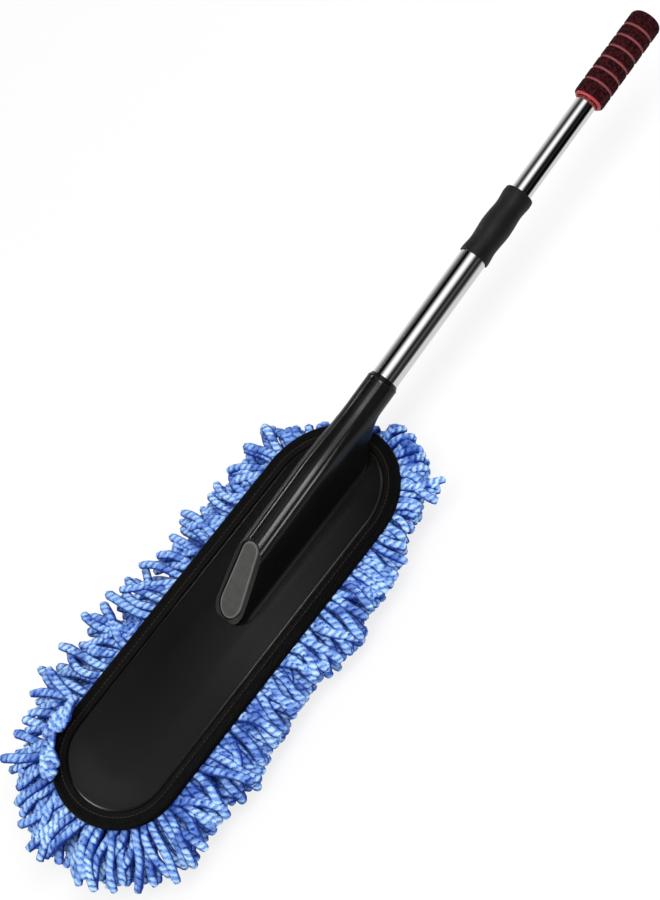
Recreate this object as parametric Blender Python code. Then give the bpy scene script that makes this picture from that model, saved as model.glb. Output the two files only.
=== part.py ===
"""Car wash mop: a padded oblong paddle in a fringed microfibre cover, on a telescoping metal handle.

Metres, +Z up. The paddle lies level on its wash face, its long axis along X with the toe at -X and the
grip at +X, and the origin is the middle of the wash face, on the surface that the mop stands on.
"""

import math

import bmesh
import bpy
import numpy as np
from mathutils import Matrix, Vector

# Driving dimensions of the paddle
PLATE_LENGTH = 0.353
PLATE_WIDTH = 0.108
TOE_DEPTH = 0.047
HEEL_DEPTH = 0.058

# Driving dimensions of the handle
HANDLE_RISE = math.radians(4.0)
LOWER_TUBE_DIAMETER = 0.022
UPPER_TUBE_DIAMETER = 0.017
LOWER_TUBE_SHOWN = 0.1165
UPPER_TUBE_SHOWN = 0.0915
COLLAR_LENGTH = 0.0615
GRIP_LENGTH = 0.0815

# Clearance between two pieces that touch, and how far a cut runs past what it cuts
GAP = 0.0003
OVERRUN = 0.002
SINK = 0.0012

# Fringed cover
WASH_STRAND_LENGTH = 0.024
BACKING = 0.0025
STRAND_WIDTH = 0.0064
STRAND_TIP_WIDTH = 0.0052
SIDE_STRAND_LENGTH = 0.037
TOE_STRAND_LENGTH = 0.047
HEEL_STRAND_LENGTH = 0.013
STRAND_JITTER = 0.0016
WASH_PITCH = 0.0148
WASH_EDGE = 0.0052
WASH_TOE_START = 0.003
BINDING_THICKNESS = 0.0012
BINDING_DROP = 0.0021

# Foam pad
FOAM_THICKNESS = 0.012
FOAM_INSET = 0.0008
FOAM_ROUND = 0.002

# Paddle shell
SHELL_WALL = 0.0028
SHELL_SKIRT = 0.011
SHELL_TOP = 0.003
SHELL_ROUND = 0.001
LEDGE_WIDTH = 0.0085
DECK_STEP = 0.0015
DECK_BEVEL = 0.0007
DECK_CROWN = 0.0012
DECK_CROWN_INSET = 0.020

# Ridge and socket on the shell
AXIS_X = 0.028
AXIS_HEIGHT = 0.021
SOCKET_SHOWN = 0.035
SOCKET_WALL = 0.0014
BORE_FLOOR = 0.0021
RIDGE_CREST = 0.0150
RIDGE_FRONT_X = -0.0025
RIDGE_FRONT_ROUND = 0.012
RIDGE_HEEL_SETBACK = 0.022
RIDGE_LIFT = 0.032
RIDGE_SHOULDER_HALF = 0.0097
RIDGE_SHOULDER_HEIGHT = 0.0117
RIDGE_FLANK_HALF = 0.0140
RIDGE_FLANK_DROP = 0.0020
RIDGE_FOOT_HALF = 0.0165
RIDGE_FLARE = 0.0065
FACE_FOOT = 0.001
FACE_TOP_X = 0.0562
HOLLOW_HALF = 0.0095
HOLLOW_START_X = 0.056
HOLLOW_SETBACK = 0.0365
BORE_START = 0.030

# Grey insert on the slanted end of the ridge
INSERT_TOP_WIDTH = 0.0158
INSERT_LOW_WIDTH = 0.0215
INSERT_MARGIN = 0.0015
INSERT_TOP_RISE = 0.0080
INSERT_END_DEPTH = 0.0135
INSERT_DEPTH = 0.0016
INSERT_PROUD = 0.0004
INSERT_CHAMFER = 0.0006
INSERT_TENON_WIDTH = 0.005
INSERT_TENON_LENGTH = 0.018
INSERT_TENON_DEPTH = 0.004

# Base plate and its screws
BASE_THICKNESS = 0.003
BOSS_RADIUS = 0.0038
SCREW_RADIUS = 0.0014
SCREW_LENGTH = 0.0085
SCREW_HEAD_RADIUS = 0.0028
SCREW_HEAD_HEIGHT = 0.0013

# Tubes and what is in them
LOWER_TUBE_WALL = 0.001
UPPER_TUBE_WALL = 0.0009
LOWER_PLUG_LENGTH = 0.016
TUBE_SCREW_OFFSET = 0.009
TUBE_SCREW_LENGTH = 0.0095
UPPER_TUBE_INSIDE = 0.045
BUSH_LENGTH = 0.012
PLUG_FLANGE = 0.002
PLUG_SPIGOT = 0.012
BEAD_HEIGHT = 0.0007
BEAD_LENGTH = 0.002

# Lock: the collar and the split collet that it squeezes
SKIRT_OVERLAP = 0.007
SKIRT_CLEARANCE = 0.0005
SKIRT_RADIUS = 0.0124
WAIST_RADIUS = 0.0112
BELLY_RADIUS = 0.0125
COLLAR_HEAD_RADIUS = 0.0121
COLLAR_CHAMFER = 0.0012
COLLAR_END_WALL = 0.004
COLLET_SLEEVE = 0.020
COLLET_FLANGE = 0.002
COLLET_WALL = 0.0009
COLLET_SLOT = 0.0012
COLLET_TAPER = 0.0004
COLLET_TIP_GAP = 0.010

# Grip
GRIP_RADIUS = 0.0135
GRIP_CORE_WALL = 0.0027
GRIP_LIP = 0.0014
GRIP_ROUND = 0.0016
GROOVE_DEPTH = 0.0011
GROOVE_HALF = 0.0008
GROOVE_FIRST = 0.0126
GROOVE_LAST = 0.0099
CAP_LENGTH = 0.0065
CAP_ROUND = 0.005
CAP_SPIGOT = 0.016

# Counts and shares
OUTLINE_COUNT = 72
SIDE_SLICES = 8
SIDE_ROW_shares = (0.18, 0.45, 0.72)
SIDE_ROW_RISE_degrees = (-14.0, 0.0, 12.0)
SIDE_ROW_DROOP_degrees = (-30.0, -18.0, -6.0)
SIDE_STAGGER_share = 0.035
WASH_CUT_shares = (0.0, 0.2, 0.4, 0.6, 0.8, 1.0)
WASH_STATIONS = 7
SCREW_X_shares = (-0.38, -0.13, 0.13, 0.38)
SCREW_Y_share = 0.34
INSERT_ARC_STEPS = 10
ARC_STEPS = 180
ROUND_SIDES = 24
INNER_SIDES = 16
SMALL_SIDES = 8
RIDGE_CREST_STEPS = 5
RIDGE_FLANK_STEPS = 4
RIDGE_BODY_RINGS = 4
RIDGE_LIFT_RINGS = 4
RIDGE_FRONT_share = 0.45
RIDGE_ROUND_shares = (0.55, 0.80)
RIDGE_NOSE_shares = (0.0, 0.12, 0.35, 0.65, 1.0)
RIDGE_FLARE_shares = ((1.0, 0.0), (0.42, 0.16), (0.12, 0.55), (0.0, 1.0))
COLLAR_PLACE_shares = (0.03, 0.09, 0.19, 0.31, 0.46, 0.61, 0.75, 0.84, 0.90)
SKIRT_FALL_share = 0.35
BINDING_ROUND_shares = (0.6, 0.8)
SCREW_DOME_shares = (0.4, 0.7)
SCREW_POINT_share = 0.3
CAP_TURN_share = 0.92
CAP_TURN_STEPS = 5
GROOVE_COUNT = 6
COLLET_SLOTS = 2

# Heights of the stack, from the wash face up
BACKING_LOW = WASH_STRAND_LENGTH
BACKING_HIGH = BACKING_LOW + BACKING
FOAM_LOW = BACKING_HIGH + GAP
FOAM_HIGH = FOAM_LOW + FOAM_THICKNESS
SHELL_LOW = FOAM_HIGH + GAP
LEDGE_Z = SHELL_LOW + SHELL_SKIRT
DECK_Z = LEDGE_Z + DECK_STEP
SHELL_UNDER = LEDGE_Z - SHELL_TOP
BASE_HIGH = SHELL_LOW + BASE_THICKNESS

# Radii along the handle
LOWER_OUT = LOWER_TUBE_DIAMETER / 2
LOWER_IN = LOWER_OUT - LOWER_TUBE_WALL
UPPER_OUT = UPPER_TUBE_DIAMETER / 2
UPPER_IN = UPPER_OUT - UPPER_TUBE_WALL
BORE_RADIUS = LOWER_OUT + GAP
SOCKET_RADIUS = BORE_RADIUS + SOCKET_WALL
RUN_RADIUS = UPPER_OUT + GAP
SLEEVE_RADIUS = LOWER_IN - GAP

# Places along the handle's axis, from its anchor over the ridge's front
SOCKET_REACH = (PLATE_LENGTH / 2 + SOCKET_SHOWN - AXIS_X) / math.cos(HANDLE_RISE)
UPPER_TUBE_START = SOCKET_REACH - UPPER_TUBE_INSIDE
TUBE_START = BORE_START + GAP
SKIRT_START = SOCKET_REACH + LOWER_TUBE_SHOWN
TUBE_END = SKIRT_START + SKIRT_OVERLAP
COLLAR_END = SKIRT_START + COLLAR_LENGTH
GRIP_START = COLLAR_END + UPPER_TUBE_SHOWN
GRIP_END = GRIP_START + GRIP_LENGTH
CAP_START = GRIP_END - CAP_LENGTH
UPPER_TUBE_END = CAP_START - GAP


def finish(name, colour, roughness, metallic=0.0):
    """Makes one Principled material, or returns the one already made under this name."""
    material = bpy.data.materials.get(name)
    if material is None:
        material = bpy.data.materials.new(name)
        material.use_nodes = True
        shader = material.node_tree.nodes["Principled BSDF"]
        shader.inputs["Base Color"].default_value = (*colour, 1.0)
        shader.inputs["Roughness"].default_value = roughness
        shader.inputs["Metallic"].default_value = metallic
    return material


def shell_plastic():
    """Black satin moulding of the paddle."""
    return finish("shell_black", (0.018, 0.018, 0.018), 0.35)


def insert_plastic():
    """Grey textured insert."""
    return finish("insert_grey", (0.10, 0.10, 0.095), 0.6)


def inner_plastic():
    """Pale plastic of the pieces inside."""
    return finish("inner_plastic", (0.35, 0.35, 0.36), 0.5)


def pad_foam():
    """Grey open foam."""
    return finish("pad_foam", (0.25, 0.25, 0.27), 0.95)


def strand_blue():
    """Blue microfibre."""
    return finish("strand_blue", (0.10, 0.25, 0.85), 0.9)


def binding_black():
    """Black woven elastic."""
    return finish("binding_black", (0.012, 0.012, 0.012), 0.8)


def tube_chrome():
    """Bright plated tube."""
    return finish("tube_chrome", (0.75, 0.75, 0.76), 0.12, 1.0)


def screw_steel():
    """Zinc plated steel."""
    return finish("screw_steel", (0.55, 0.55, 0.55), 0.35, 1.0)


def grip_black():
    """Dark outer foam of the grip."""
    return finish("grip_black", (0.030, 0.010, 0.012), 0.7)


def grip_red():
    """Red inner foam of the grip."""
    return finish("grip_red", (0.60, 0.05, 0.05), 0.7)


def mesh_of(name, vertices, faces):
    """Makes a mesh whose faces all point outwards."""
    mesh = bpy.data.meshes.new(name)
    mesh.from_pydata([tuple(map(float, v)) for v in vertices], [], [tuple(map(int, f)) for f in faces])
    work = bmesh.new()
    work.from_mesh(mesh)
    bmesh.ops.recalc_face_normals(work, faces=work.faces)
    work.to_mesh(mesh)
    work.free()
    return mesh


def place(name, mesh, material, parent=None):
    """Puts a mesh in the scene as an object of its own."""
    thing = bpy.data.objects.new(name, mesh)
    if not mesh.materials:
        mesh.materials.append(material)
    bpy.context.scene.collection.objects.link(thing)
    thing.parent = parent
    return thing


def guide(thing):
    """Marks an object as a cutter or an operand, which is no piece of the mop."""
    thing.hide_render = True
    thing.display_type = "WIRE"
    return thing


def combine(thing, other, how):
    """Joins to, or cuts from, an object with a Boolean modifier."""
    step = thing.modifiers.new(how.lower() + "_" + other.name, "BOOLEAN")
    step.operation = how
    step.solver = "EXACT"
    step.object = guide(other)
    return step


def smooth(thing, angle=math.radians(35.0)):
    """Shades the round faces smooth and keeps the hard edges."""
    thing.data.shade_smooth()
    thing.data.set_sharp_from_angle(angle=angle)
    return thing


def lofted(rings, closed):
    """Vertices and faces of a skin over rings of equal count, capped unless the last meets the first."""
    count = len(rings[0])
    vertices = np.vstack(rings)
    here = np.arange(count)
    after = np.roll(here, -1)
    pairs = [(i, i + 1) for i in range(len(rings) - 1)]
    if closed:
        pairs.append((len(rings) - 1, 0))
    faces = []
    for low, high in pairs:
        corners = [low * count + here, low * count + after, high * count + after, high * count + here]
        faces.extend(np.column_stack(corners).tolist())
    if not closed:
        faces.append(here[::-1].tolist())
        faces.append((here + (len(rings) - 1) * count).tolist())
    return vertices, faces


def turned(name, profile, material, parent, sides=ROUND_SIDES, hollow=True):
    """Turns (place, radius) points round the local X axis; a hollow profile is a closed loop."""
    angle = np.arange(sides) * math.tau / sides
    rings = [np.column_stack([np.full(sides, u), r * np.cos(angle), r * np.sin(angle)]) for u, r in profile]
    return smooth(place(name, mesh_of(name, *lofted(rings, hollow)), material, parent))


def plate_curve(count):
    """Points and outward normals at equal steps along the paddle's outline.

    Each end is half an ellipse as wide as the plate, and straight sides join the two.
    """
    half = PLATE_LENGTH / 2
    wide = PLATE_WIDTH / 2
    turn = np.linspace(-math.pi / 2, math.pi / 2, ARC_STEPS * 2 + 1)
    toe = np.column_stack([-half + TOE_DEPTH - TOE_DEPTH * np.cos(turn), -wide * np.sin(turn)])
    heel = np.column_stack([half - HEEL_DEPTH + HEEL_DEPTH * np.cos(turn), wide * np.sin(turn)])
    loop = np.vstack([toe[ARC_STEPS:], heel, toe[:ARC_STEPS + 1]])
    step = np.linalg.norm(np.diff(loop, axis=0), axis=1)
    loop = loop[np.append(True, step > GAP * GAP)]
    run = np.append(0.0, np.cumsum(np.linalg.norm(np.diff(loop, axis=0), axis=1)))
    at = np.linspace(0.0, run[-1], count, endpoint=False)
    points = np.column_stack([np.interp(at, run, loop[:, 0]), np.interp(at, run, loop[:, 1])])
    tangent = np.roll(points, -1, axis=0) - np.roll(points, 1, axis=0)
    tangent = tangent / np.linalg.norm(tangent, axis=1)[:, None]
    return points, np.column_stack([tangent[:, 1], -tangent[:, 0]])


def plate_ring(offset, height):
    """One ring of the paddle's outline, moved outwards by an offset, at one height."""
    points, normals = plate_curve(OUTLINE_COUNT)
    flat = points + normals * offset
    return np.column_stack([flat, np.full(len(flat), height)])


def plate_stack(name, sections, material, closed=False):
    """A piece with the paddle's outline, from (offset, height) sections."""
    rings = [plate_ring(offset, height) for offset, height in sections]
    return place(name, mesh_of(name, *lofted(rings, closed)), material)


def upright(radius, low, high):
    """Vertices and faces of an upright cylinder."""
    angle = np.arange(SMALL_SIDES) * math.tau / SMALL_SIDES
    flat = radius * np.column_stack([np.cos(angle), np.sin(angle)])
    return lofted([np.column_stack([flat, np.full(SMALL_SIDES, z)]) for z in (low, high)], False)


def cylinder(name, radius, low, high, parent):
    """A plain upright cylinder, used as a cutter."""
    return place(name, mesh_of(name, *upright(radius, low, high)), shell_plastic(), parent)


def several(name, shape, spots):
    """One operand made of the same closed shape at several spots."""
    shape_vertices, shape_faces = shape
    vertices = []
    faces = []
    for index, spot in enumerate(spots):
        vertices.append(np.asarray(shape_vertices) + np.asarray(spot))
        faces.extend([[v + index * len(shape_vertices) for v in face] for face in shape_faces])
    return place(name, mesh_of(name, np.vstack(vertices), faces), shell_plastic())


def axis_height(x):
    """Height of the handle's axis over the floor at one x."""
    return DECK_Z + AXIS_HEIGHT + (x - AXIS_X) * math.tan(HANDLE_RISE)


def screw_spots():
    """Middles of the base plate's screws."""
    across = PLATE_WIDTH * SCREW_Y_share
    return [(PLATE_LENGTH * share, across * side, 0.0) for share in SCREW_X_shares for side in (-1, 1)]


def ease(value, low, high):
    """Goes smoothly from 0 at the low value to 1 at the high one."""
    share = min(max((value - low) / (high - low), 0.0), 1.0)
    return share * share * (3.0 - 2.0 * share)


def ridge_section(u):
    """One section of the ridge, across the handle's axis, as (u, y, height) points round it.

    The top is a shallow arch between two creased shoulders. Below them the flanks lean out and flare into
    the deck. Towards the mouth the top goes over to the round socket, and past the heel the flanks close
    up into its round underside.
    """
    x = AXIS_X + u * math.cos(HANDLE_RISE)
    drop = axis_height(x) - DECK_Z
    across = np.linspace(0.0, 1.0, RIDGE_CREST_STEPS + 1)
    arch = np.column_stack([
        RIDGE_SHOULDER_HALF * across,
        RIDGE_CREST - (RIDGE_CREST - RIDGE_SHOULDER_HEIGHT) * across ** 2,
    ])
    down = np.linspace(0.0, 1.0, RIDGE_FLANK_STEPS + 1)[1:]
    flank = np.column_stack([
        RIDGE_SHOULDER_HALF + (RIDGE_FLANK_HALF - RIDGE_SHOULDER_HALF) * down,
        RIDGE_SHOULDER_HEIGHT - (RIDGE_SHOULDER_HEIGHT + RIDGE_FLANK_DROP) * down,
    ])
    upper = np.vstack([arch, flank])
    reach = np.linalg.norm(upper, axis=1)[:, None]
    turned_round = ease(u / SOCKET_REACH, *RIDGE_ROUND_shares)
    upper = upper * (1.0 + (SOCKET_RADIUS / reach - 1.0) * turned_round)
    high, wide = np.array(RIDGE_FLARE_shares).T
    flare = np.column_stack([RIDGE_FOOT_HALF + RIDGE_FLARE * wide, RIDGE_FLARE * high - drop])
    lower = np.vstack([flare, [RIDGE_FOOT_HALF + RIDGE_FLARE, -drop - OVERRUN]])
    lift_start = PLATE_LENGTH / 2 - RIDGE_HEEL_SETBACK
    lift = min(max((x - lift_start) / RIDGE_LIFT, 0.0), 1.0)
    edge = math.atan2(upper[-1, 1], upper[-1, 0])
    under = np.linspace(edge, -math.pi / 2, len(lower) + 1)[1:]
    round_low = SOCKET_RADIUS * np.column_stack([np.cos(under), np.sin(under)])
    lower = lower + (round_low - lower) * lift
    half = np.vstack([upper, lower])
    front = min(max((x - RIDGE_FRONT_X) / RIDGE_FRONT_ROUND, 0.0), 1.0)
    narrow = RIDGE_FRONT_share + (1.0 - RIDGE_FRONT_share) * math.sqrt(1.0 - (1.0 - front) ** 2)
    half = half * np.array([narrow, 1.0])
    mirrored = half[::-1] * np.array([-1.0, 1.0])
    points = np.vstack([half, mirrored[:-1]])
    return np.column_stack([np.full(len(points), u), points])


def ridge(parent):
    """The ridge that runs back from the slanted face and ends as the round socket."""
    front = (RIDGE_FRONT_X - AXIS_X) / math.cos(HANDLE_RISE)
    lift_start = (PLATE_LENGTH / 2 - RIDGE_HEEL_SETBACK - AXIS_X) / math.cos(HANDLE_RISE)
    lift_end = lift_start + RIDGE_LIFT
    nose = [front + RIDGE_FRONT_ROUND * share for share in RIDGE_NOSE_shares]
    body = np.linspace(nose[-1], lift_start, RIDGE_BODY_RINGS + 1)[1:].tolist()
    lift = np.linspace(lift_start, lift_end, RIDGE_LIFT_RINGS + 1)[1:].tolist()
    mouth = [SOCKET_REACH - SHELL_ROUND, SOCKET_REACH]
    rings = [ridge_section(u) for u in nose + body + lift + mouth]
    eased = 1.0 - SHELL_ROUND / SOCKET_RADIUS
    rings[-1] = rings[-1] * np.array([1.0, eased, eased])
    return place("ridge_form", mesh_of("ridge_form", *lofted(rings, False)), shell_plastic(), parent)


def slanted_ends():
    """Lowest and highest point of the slanted face, in the handle's frame."""
    low_drop = axis_height(RIDGE_FRONT_X) - DECK_Z - DECK_CROWN - FACE_FOOT
    low = Vector(((RIDGE_FRONT_X - AXIS_X) / math.cos(HANDLE_RISE), 0.0, -low_drop))
    top = Vector(((FACE_TOP_X - AXIS_X) / math.cos(HANDLE_RISE), 0.0, RIDGE_CREST))
    return low, top


def slanted_frame():
    """Matrix whose X runs up the slanted face and whose Z points out of it, in the handle's frame."""
    low, top = slanted_ends()
    up = (top - low).normalized()
    side = Vector((0.0, 1.0, 0.0))
    out = up.cross(side).normalized()
    turn = Matrix((up, side, out)).transposed().to_4x4()
    return Matrix.Translation((low + top) / 2) @ turn


def insert_outline(margin):
    """Outline of the insert on the slanted face, round at both ends and widest at its foot."""
    low_end, top_end = slanted_ends()
    top = (top_end - low_end).length / 2 - INSERT_MARGIN + margin
    high_half = INSERT_TOP_WIDTH / 2 + margin
    low_half = INSERT_LOW_WIDTH / 2 + margin
    rise = INSERT_TOP_RISE + margin
    depth = INSERT_END_DEPTH + margin
    arc = np.linspace(-math.pi / 2, math.pi / 2, INSERT_ARC_STEPS + 1)
    head = np.column_stack([top - rise + rise * np.cos(arc), high_half * np.sin(arc)])
    foot = np.column_stack([depth - top - depth * np.cos(arc), -low_half * np.sin(arc)])
    return np.vstack([head, foot])


def insert_slab(name, sections, handle, material):
    """Slab with the insert's outline on the slanted face, from (margin, height) sections."""
    rings = []
    for margin, height in sections:
        flat = insert_outline(margin)
        rings.append(np.column_stack([flat, np.full(len(flat), height)]))
    slab = place(name, mesh_of(name, *lofted(rings, False)), material, handle)
    slab.matrix_local = slanted_frame()
    return slab


def box(low, high):
    """Vertices and faces of a plain box."""
    xs = np.array([low[0], high[0], high[0], low[0]])
    ys = np.array([low[1], low[1], high[1], high[1]])
    return lofted([np.column_stack([xs, ys, np.full(4, z)]) for z in (low[2], high[2])], False)


def paddle_shell(handle):
    """Top moulding: skirt, ledge for the binding, crowned deck, ridge with the socket, and screw bosses."""
    sections = [
        (-SHELL_WALL, SHELL_UNDER),
        (-SHELL_WALL, SHELL_LOW),
        (0.0, SHELL_LOW),
        (0.0, LEDGE_Z - SHELL_ROUND),
        (-SHELL_ROUND, LEDGE_Z),
        (-LEDGE_WIDTH, LEDGE_Z),
        (-LEDGE_WIDTH - DECK_BEVEL, DECK_Z - DECK_BEVEL / 2),
        (-LEDGE_WIDTH - DECK_BEVEL * 3, DECK_Z),
        (-DECK_CROWN_INSET, DECK_Z + DECK_CROWN),
    ]
    shell = plate_stack("paddle_shell", sections, shell_plastic())
    combine(shell, ridge(handle), "UNION")
    boss = upright(BOSS_RADIUS, BASE_HIGH + GAP, SHELL_UNDER + SINK)
    combine(shell, several("boss_forms", boss, screw_spots()), "UNION")
    combine(shell, slant_cutter(handle), "DIFFERENCE")
    combine(shell, insert_pocket(handle), "DIFFERENCE")
    bore_line = [(BORE_START, BORE_RADIUS), (SOCKET_REACH + OVERRUN, BORE_RADIUS)]
    bore = turned("bore_cutter", bore_line, shell_plastic(), handle, hollow=False)
    combine(shell, bore, "DIFFERENCE")
    combine(shell, under_hollow(), "DIFFERENCE")
    pilot = upright(SCREW_RADIUS + GAP, BASE_HIGH - OVERRUN, SHELL_UNDER + SINK)
    combine(shell, several("pilot_cutters", pilot, screw_spots()), "DIFFERENCE")
    screw_way = cylinder("tube_screw_way", SCREW_RADIUS + GAP, -BORE_RADIUS - BORE_FLOOR * 2, 0.0, handle)
    screw_way.location = (TUBE_START + TUBE_SCREW_OFFSET, 0.0, 0.0)
    combine(shell, screw_way, "DIFFERENCE")
    return shell


def slant_cutter(handle):
    """Block that cuts the front of the ridge to the slanted face."""
    low, top = slanted_ends()
    reach = PLATE_WIDTH / 2
    block = box((-(top - low).length / 2 - SINK, -reach, 0.0), (reach, reach, reach))
    cutter = place("slant_cutter", mesh_of("slant_cutter", *block), shell_plastic(), handle)
    cutter.matrix_local = slanted_frame()
    return cutter


def tenon(name, margin, high, handle):
    """Bar behind the insert, or with a margin the slot that takes it."""
    wide = INSERT_TENON_WIDTH / 2 + margin
    long = INSERT_TENON_LENGTH / 2 + margin
    bar = box((-long, -wide, -INSERT_TENON_DEPTH - margin), (long, wide, high))
    thing = place(name, mesh_of(name, *bar), insert_plastic(), handle)
    thing.matrix_local = slanted_frame()
    return thing


def insert_pocket(handle):
    """Pocket that holds the grey insert, with its tenon's slot."""
    sections = [(GAP, -INSERT_DEPTH - GAP), (GAP, OVERRUN)]
    pocket = insert_slab("insert_pocket", sections, handle, shell_plastic())
    combine(pocket, tenon("tenon_slot", GAP, 0.0, handle), "UNION")
    return pocket


def end_insert(handle):
    """Grey insert let into the slanted end of the ridge."""
    sections = [
        (0.0, -INSERT_DEPTH),
        (0.0, INSERT_PROUD - INSERT_CHAMFER),
        (-INSERT_CHAMFER, INSERT_PROUD),
    ]
    insert = insert_slab("end_insert", sections, handle, insert_plastic())
    combine(insert, tenon("tenon_form", 0.0, -INSERT_DEPTH / 2, handle), "UNION")
    return insert


def under_hollow():
    """Core that hollows the ridge from below, up to the floor of the tube's bore."""
    low = SHELL_UNDER - OVERRUN
    side = np.array([-1.0, 1.0, 1.0, -1.0]) * HOLLOW_HALF
    rings = []
    for x in (HOLLOW_START_X, PLATE_LENGTH / 2 - HOLLOW_SETBACK):
        top = axis_height(x) - BORE_RADIUS / math.cos(HANDLE_RISE) - BORE_FLOOR
        rings.append(np.column_stack([np.full(4, x), side, np.array([low, low, top, top])]))
    return place("under_hollow", mesh_of("under_hollow", *lofted(rings, False)), shell_plastic())


def base_plate():
    """Plate that closes the shell from below, with its counterbored screw holes."""
    inset = SHELL_WALL + GAP
    plate = plate_stack("base_plate", [(-inset, SHELL_LOW), (-inset, BASE_HIGH)], shell_plastic())
    hole = upright(SCREW_RADIUS + GAP, SHELL_LOW - OVERRUN, BASE_HIGH + OVERRUN)
    combine(plate, several("base_holes", hole, screw_spots()), "DIFFERENCE")
    seat = upright(SCREW_HEAD_RADIUS + GAP, SHELL_LOW - OVERRUN, SHELL_LOW + SCREW_HEAD_HEIGHT + GAP)
    combine(plate, several("base_seats", seat, screw_spots()), "DIFFERENCE")
    return plate


def screw_mesh(name, length):
    """A pan head screw that points up local X, its head's outer face at zero."""
    angle = np.arange(SMALL_SIDES) * math.tau / SMALL_SIDES
    circle = np.column_stack([np.cos(angle), np.sin(angle)])
    rise, dome = SCREW_DOME_shares
    profile = [
        (0.0, SCREW_HEAD_RADIUS * dome),
        (SCREW_HEAD_HEIGHT * rise, SCREW_HEAD_RADIUS),
        (SCREW_HEAD_HEIGHT, SCREW_HEAD_RADIUS),
        (SCREW_HEAD_HEIGHT, SCREW_RADIUS),
        (length - SCREW_RADIUS, SCREW_RADIUS),
        (length, SCREW_RADIUS * SCREW_POINT_share),
    ]
    rings = [np.column_stack([circle * radius, np.full(SMALL_SIDES, z)]) for z, radius in profile]
    return mesh_of(name, *lofted(rings, False))


def base_screws():
    """Screws that hold the base plate to the shell's bosses."""
    mesh = screw_mesh("base_screw", SCREW_LENGTH)
    for index, spot in enumerate(screw_spots(), start=1):
        screw = place(f"base_screw_{index}", mesh, screw_steel())
        screw.location = (spot[0], spot[1], SHELL_LOW + GAP / 3)


def foam_pad():
    """Foam between the base plate and the cover."""
    sections = [
        (-FOAM_INSET - FOAM_ROUND, FOAM_LOW),
        (-FOAM_INSET, FOAM_LOW + FOAM_ROUND),
        (-FOAM_INSET, FOAM_HIGH - FOAM_ROUND / 2),
        (-FOAM_INSET - FOAM_ROUND / 2, FOAM_HIGH),
    ]
    return plate_stack("foam_pad", sections, pad_foam())


def edge_binding():
    """Elastic binding that hooks the cover over the rim of the shell."""
    inner = GAP + BACKING + GAP
    outer = inner + BINDING_THICKNESS
    low = LEDGE_Z - BINDING_DROP
    top = LEDGE_Z + GAP + BINDING_THICKNESS
    fall, run = BINDING_ROUND_shares
    sections = [
        (inner, low),
        (outer, low),
        (outer, top - BINDING_THICKNESS * fall),
        (outer - BINDING_THICKNESS * run, top),
        (-LEDGE_WIDTH + GAP, top),
        (-LEDGE_WIDTH + GAP, LEDGE_Z + GAP),
        (inner, LEDGE_Z + GAP),
    ]
    return smooth(plate_stack("edge_binding", sections, binding_black(), closed=True))


def prism(centres, widths, up):
    """Vertices and faces of one four-sided strand along its centres, its sides square to its own run."""
    centres = np.asarray(centres)
    run = np.gradient(centres, axis=0)
    run = run / np.linalg.norm(run, axis=1)[:, None]
    rings = []
    for centre, along, width in zip(centres, run, widths):
        side = np.cross(along, up)
        side = side / np.linalg.norm(side)
        over = np.cross(side, along)
        half = width / 2
        rings.append(centre + half * np.array([side + over, -side + over, -side - over, side - over]))
    return lofted(rings, False)


def strands_object(name, shapes):
    """One operand that holds many separate strands."""
    vertices = []
    faces = []
    start = 0
    for shape_vertices, shape_faces in shapes:
        vertices.append(shape_vertices)
        faces.extend([[v + start for v in face] for face in shape_faces])
        start += len(shape_vertices)
    return place(name, mesh_of(name, np.vstack(vertices), faces), strand_blue())


def strand_length(x):
    """Length of a side strand: long at the toe, short at the heel, where the handle leaves."""
    half = PLATE_LENGTH / 2
    toe = min(max((-x - half + TOE_DEPTH) / TOE_DEPTH, 0.0), 1.0)
    heel = min(max((x - half + HEEL_DEPTH / 2) / (HEEL_DEPTH / 2), 0.0), 1.0)
    length = SIDE_STRAND_LENGTH + (TOE_STRAND_LENGTH - SIDE_STRAND_LENGTH) * toe
    return length + (HEEL_STRAND_LENGTH - SIDE_STRAND_LENGTH) * heel


def side_strand(middle, normal, row, stagger, draw):
    """One strand of the fringe: out of the wall, then drooping."""
    wall_low = BACKING_LOW
    wall_high = LEDGE_Z - GAP
    height = wall_low + (wall_high - wall_low) * (SIDE_ROW_shares[row] + stagger)
    out = np.array([normal[0], normal[1], 0.0])
    along = np.array([-normal[1], normal[0], 0.0])
    up = np.array([0.0, 0.0, 1.0])
    root = np.array([middle[0], middle[1], height]) + out * (GAP + BACKING - SINK)
    length = strand_length(middle[0])
    rise = math.radians(SIDE_ROW_RISE_degrees[row])
    droop = math.radians(SIDE_ROW_DROOP_degrees[row])
    sway = draw.uniform(-1.0, 1.0) * STRAND_JITTER
    bend = root + (out * math.cos(rise) + up * math.sin(rise)) * (length / 2 + SINK)
    reach = length / 2 + draw.uniform(-1.0, 1.0) * STRAND_JITTER
    tip = bend + (out * math.cos(droop) + up * math.sin(droop)) * reach + along * sway
    return prism([root, bend, tip], (STRAND_WIDTH, STRAND_WIDTH, STRAND_TIP_WIDTH), up)


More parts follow.
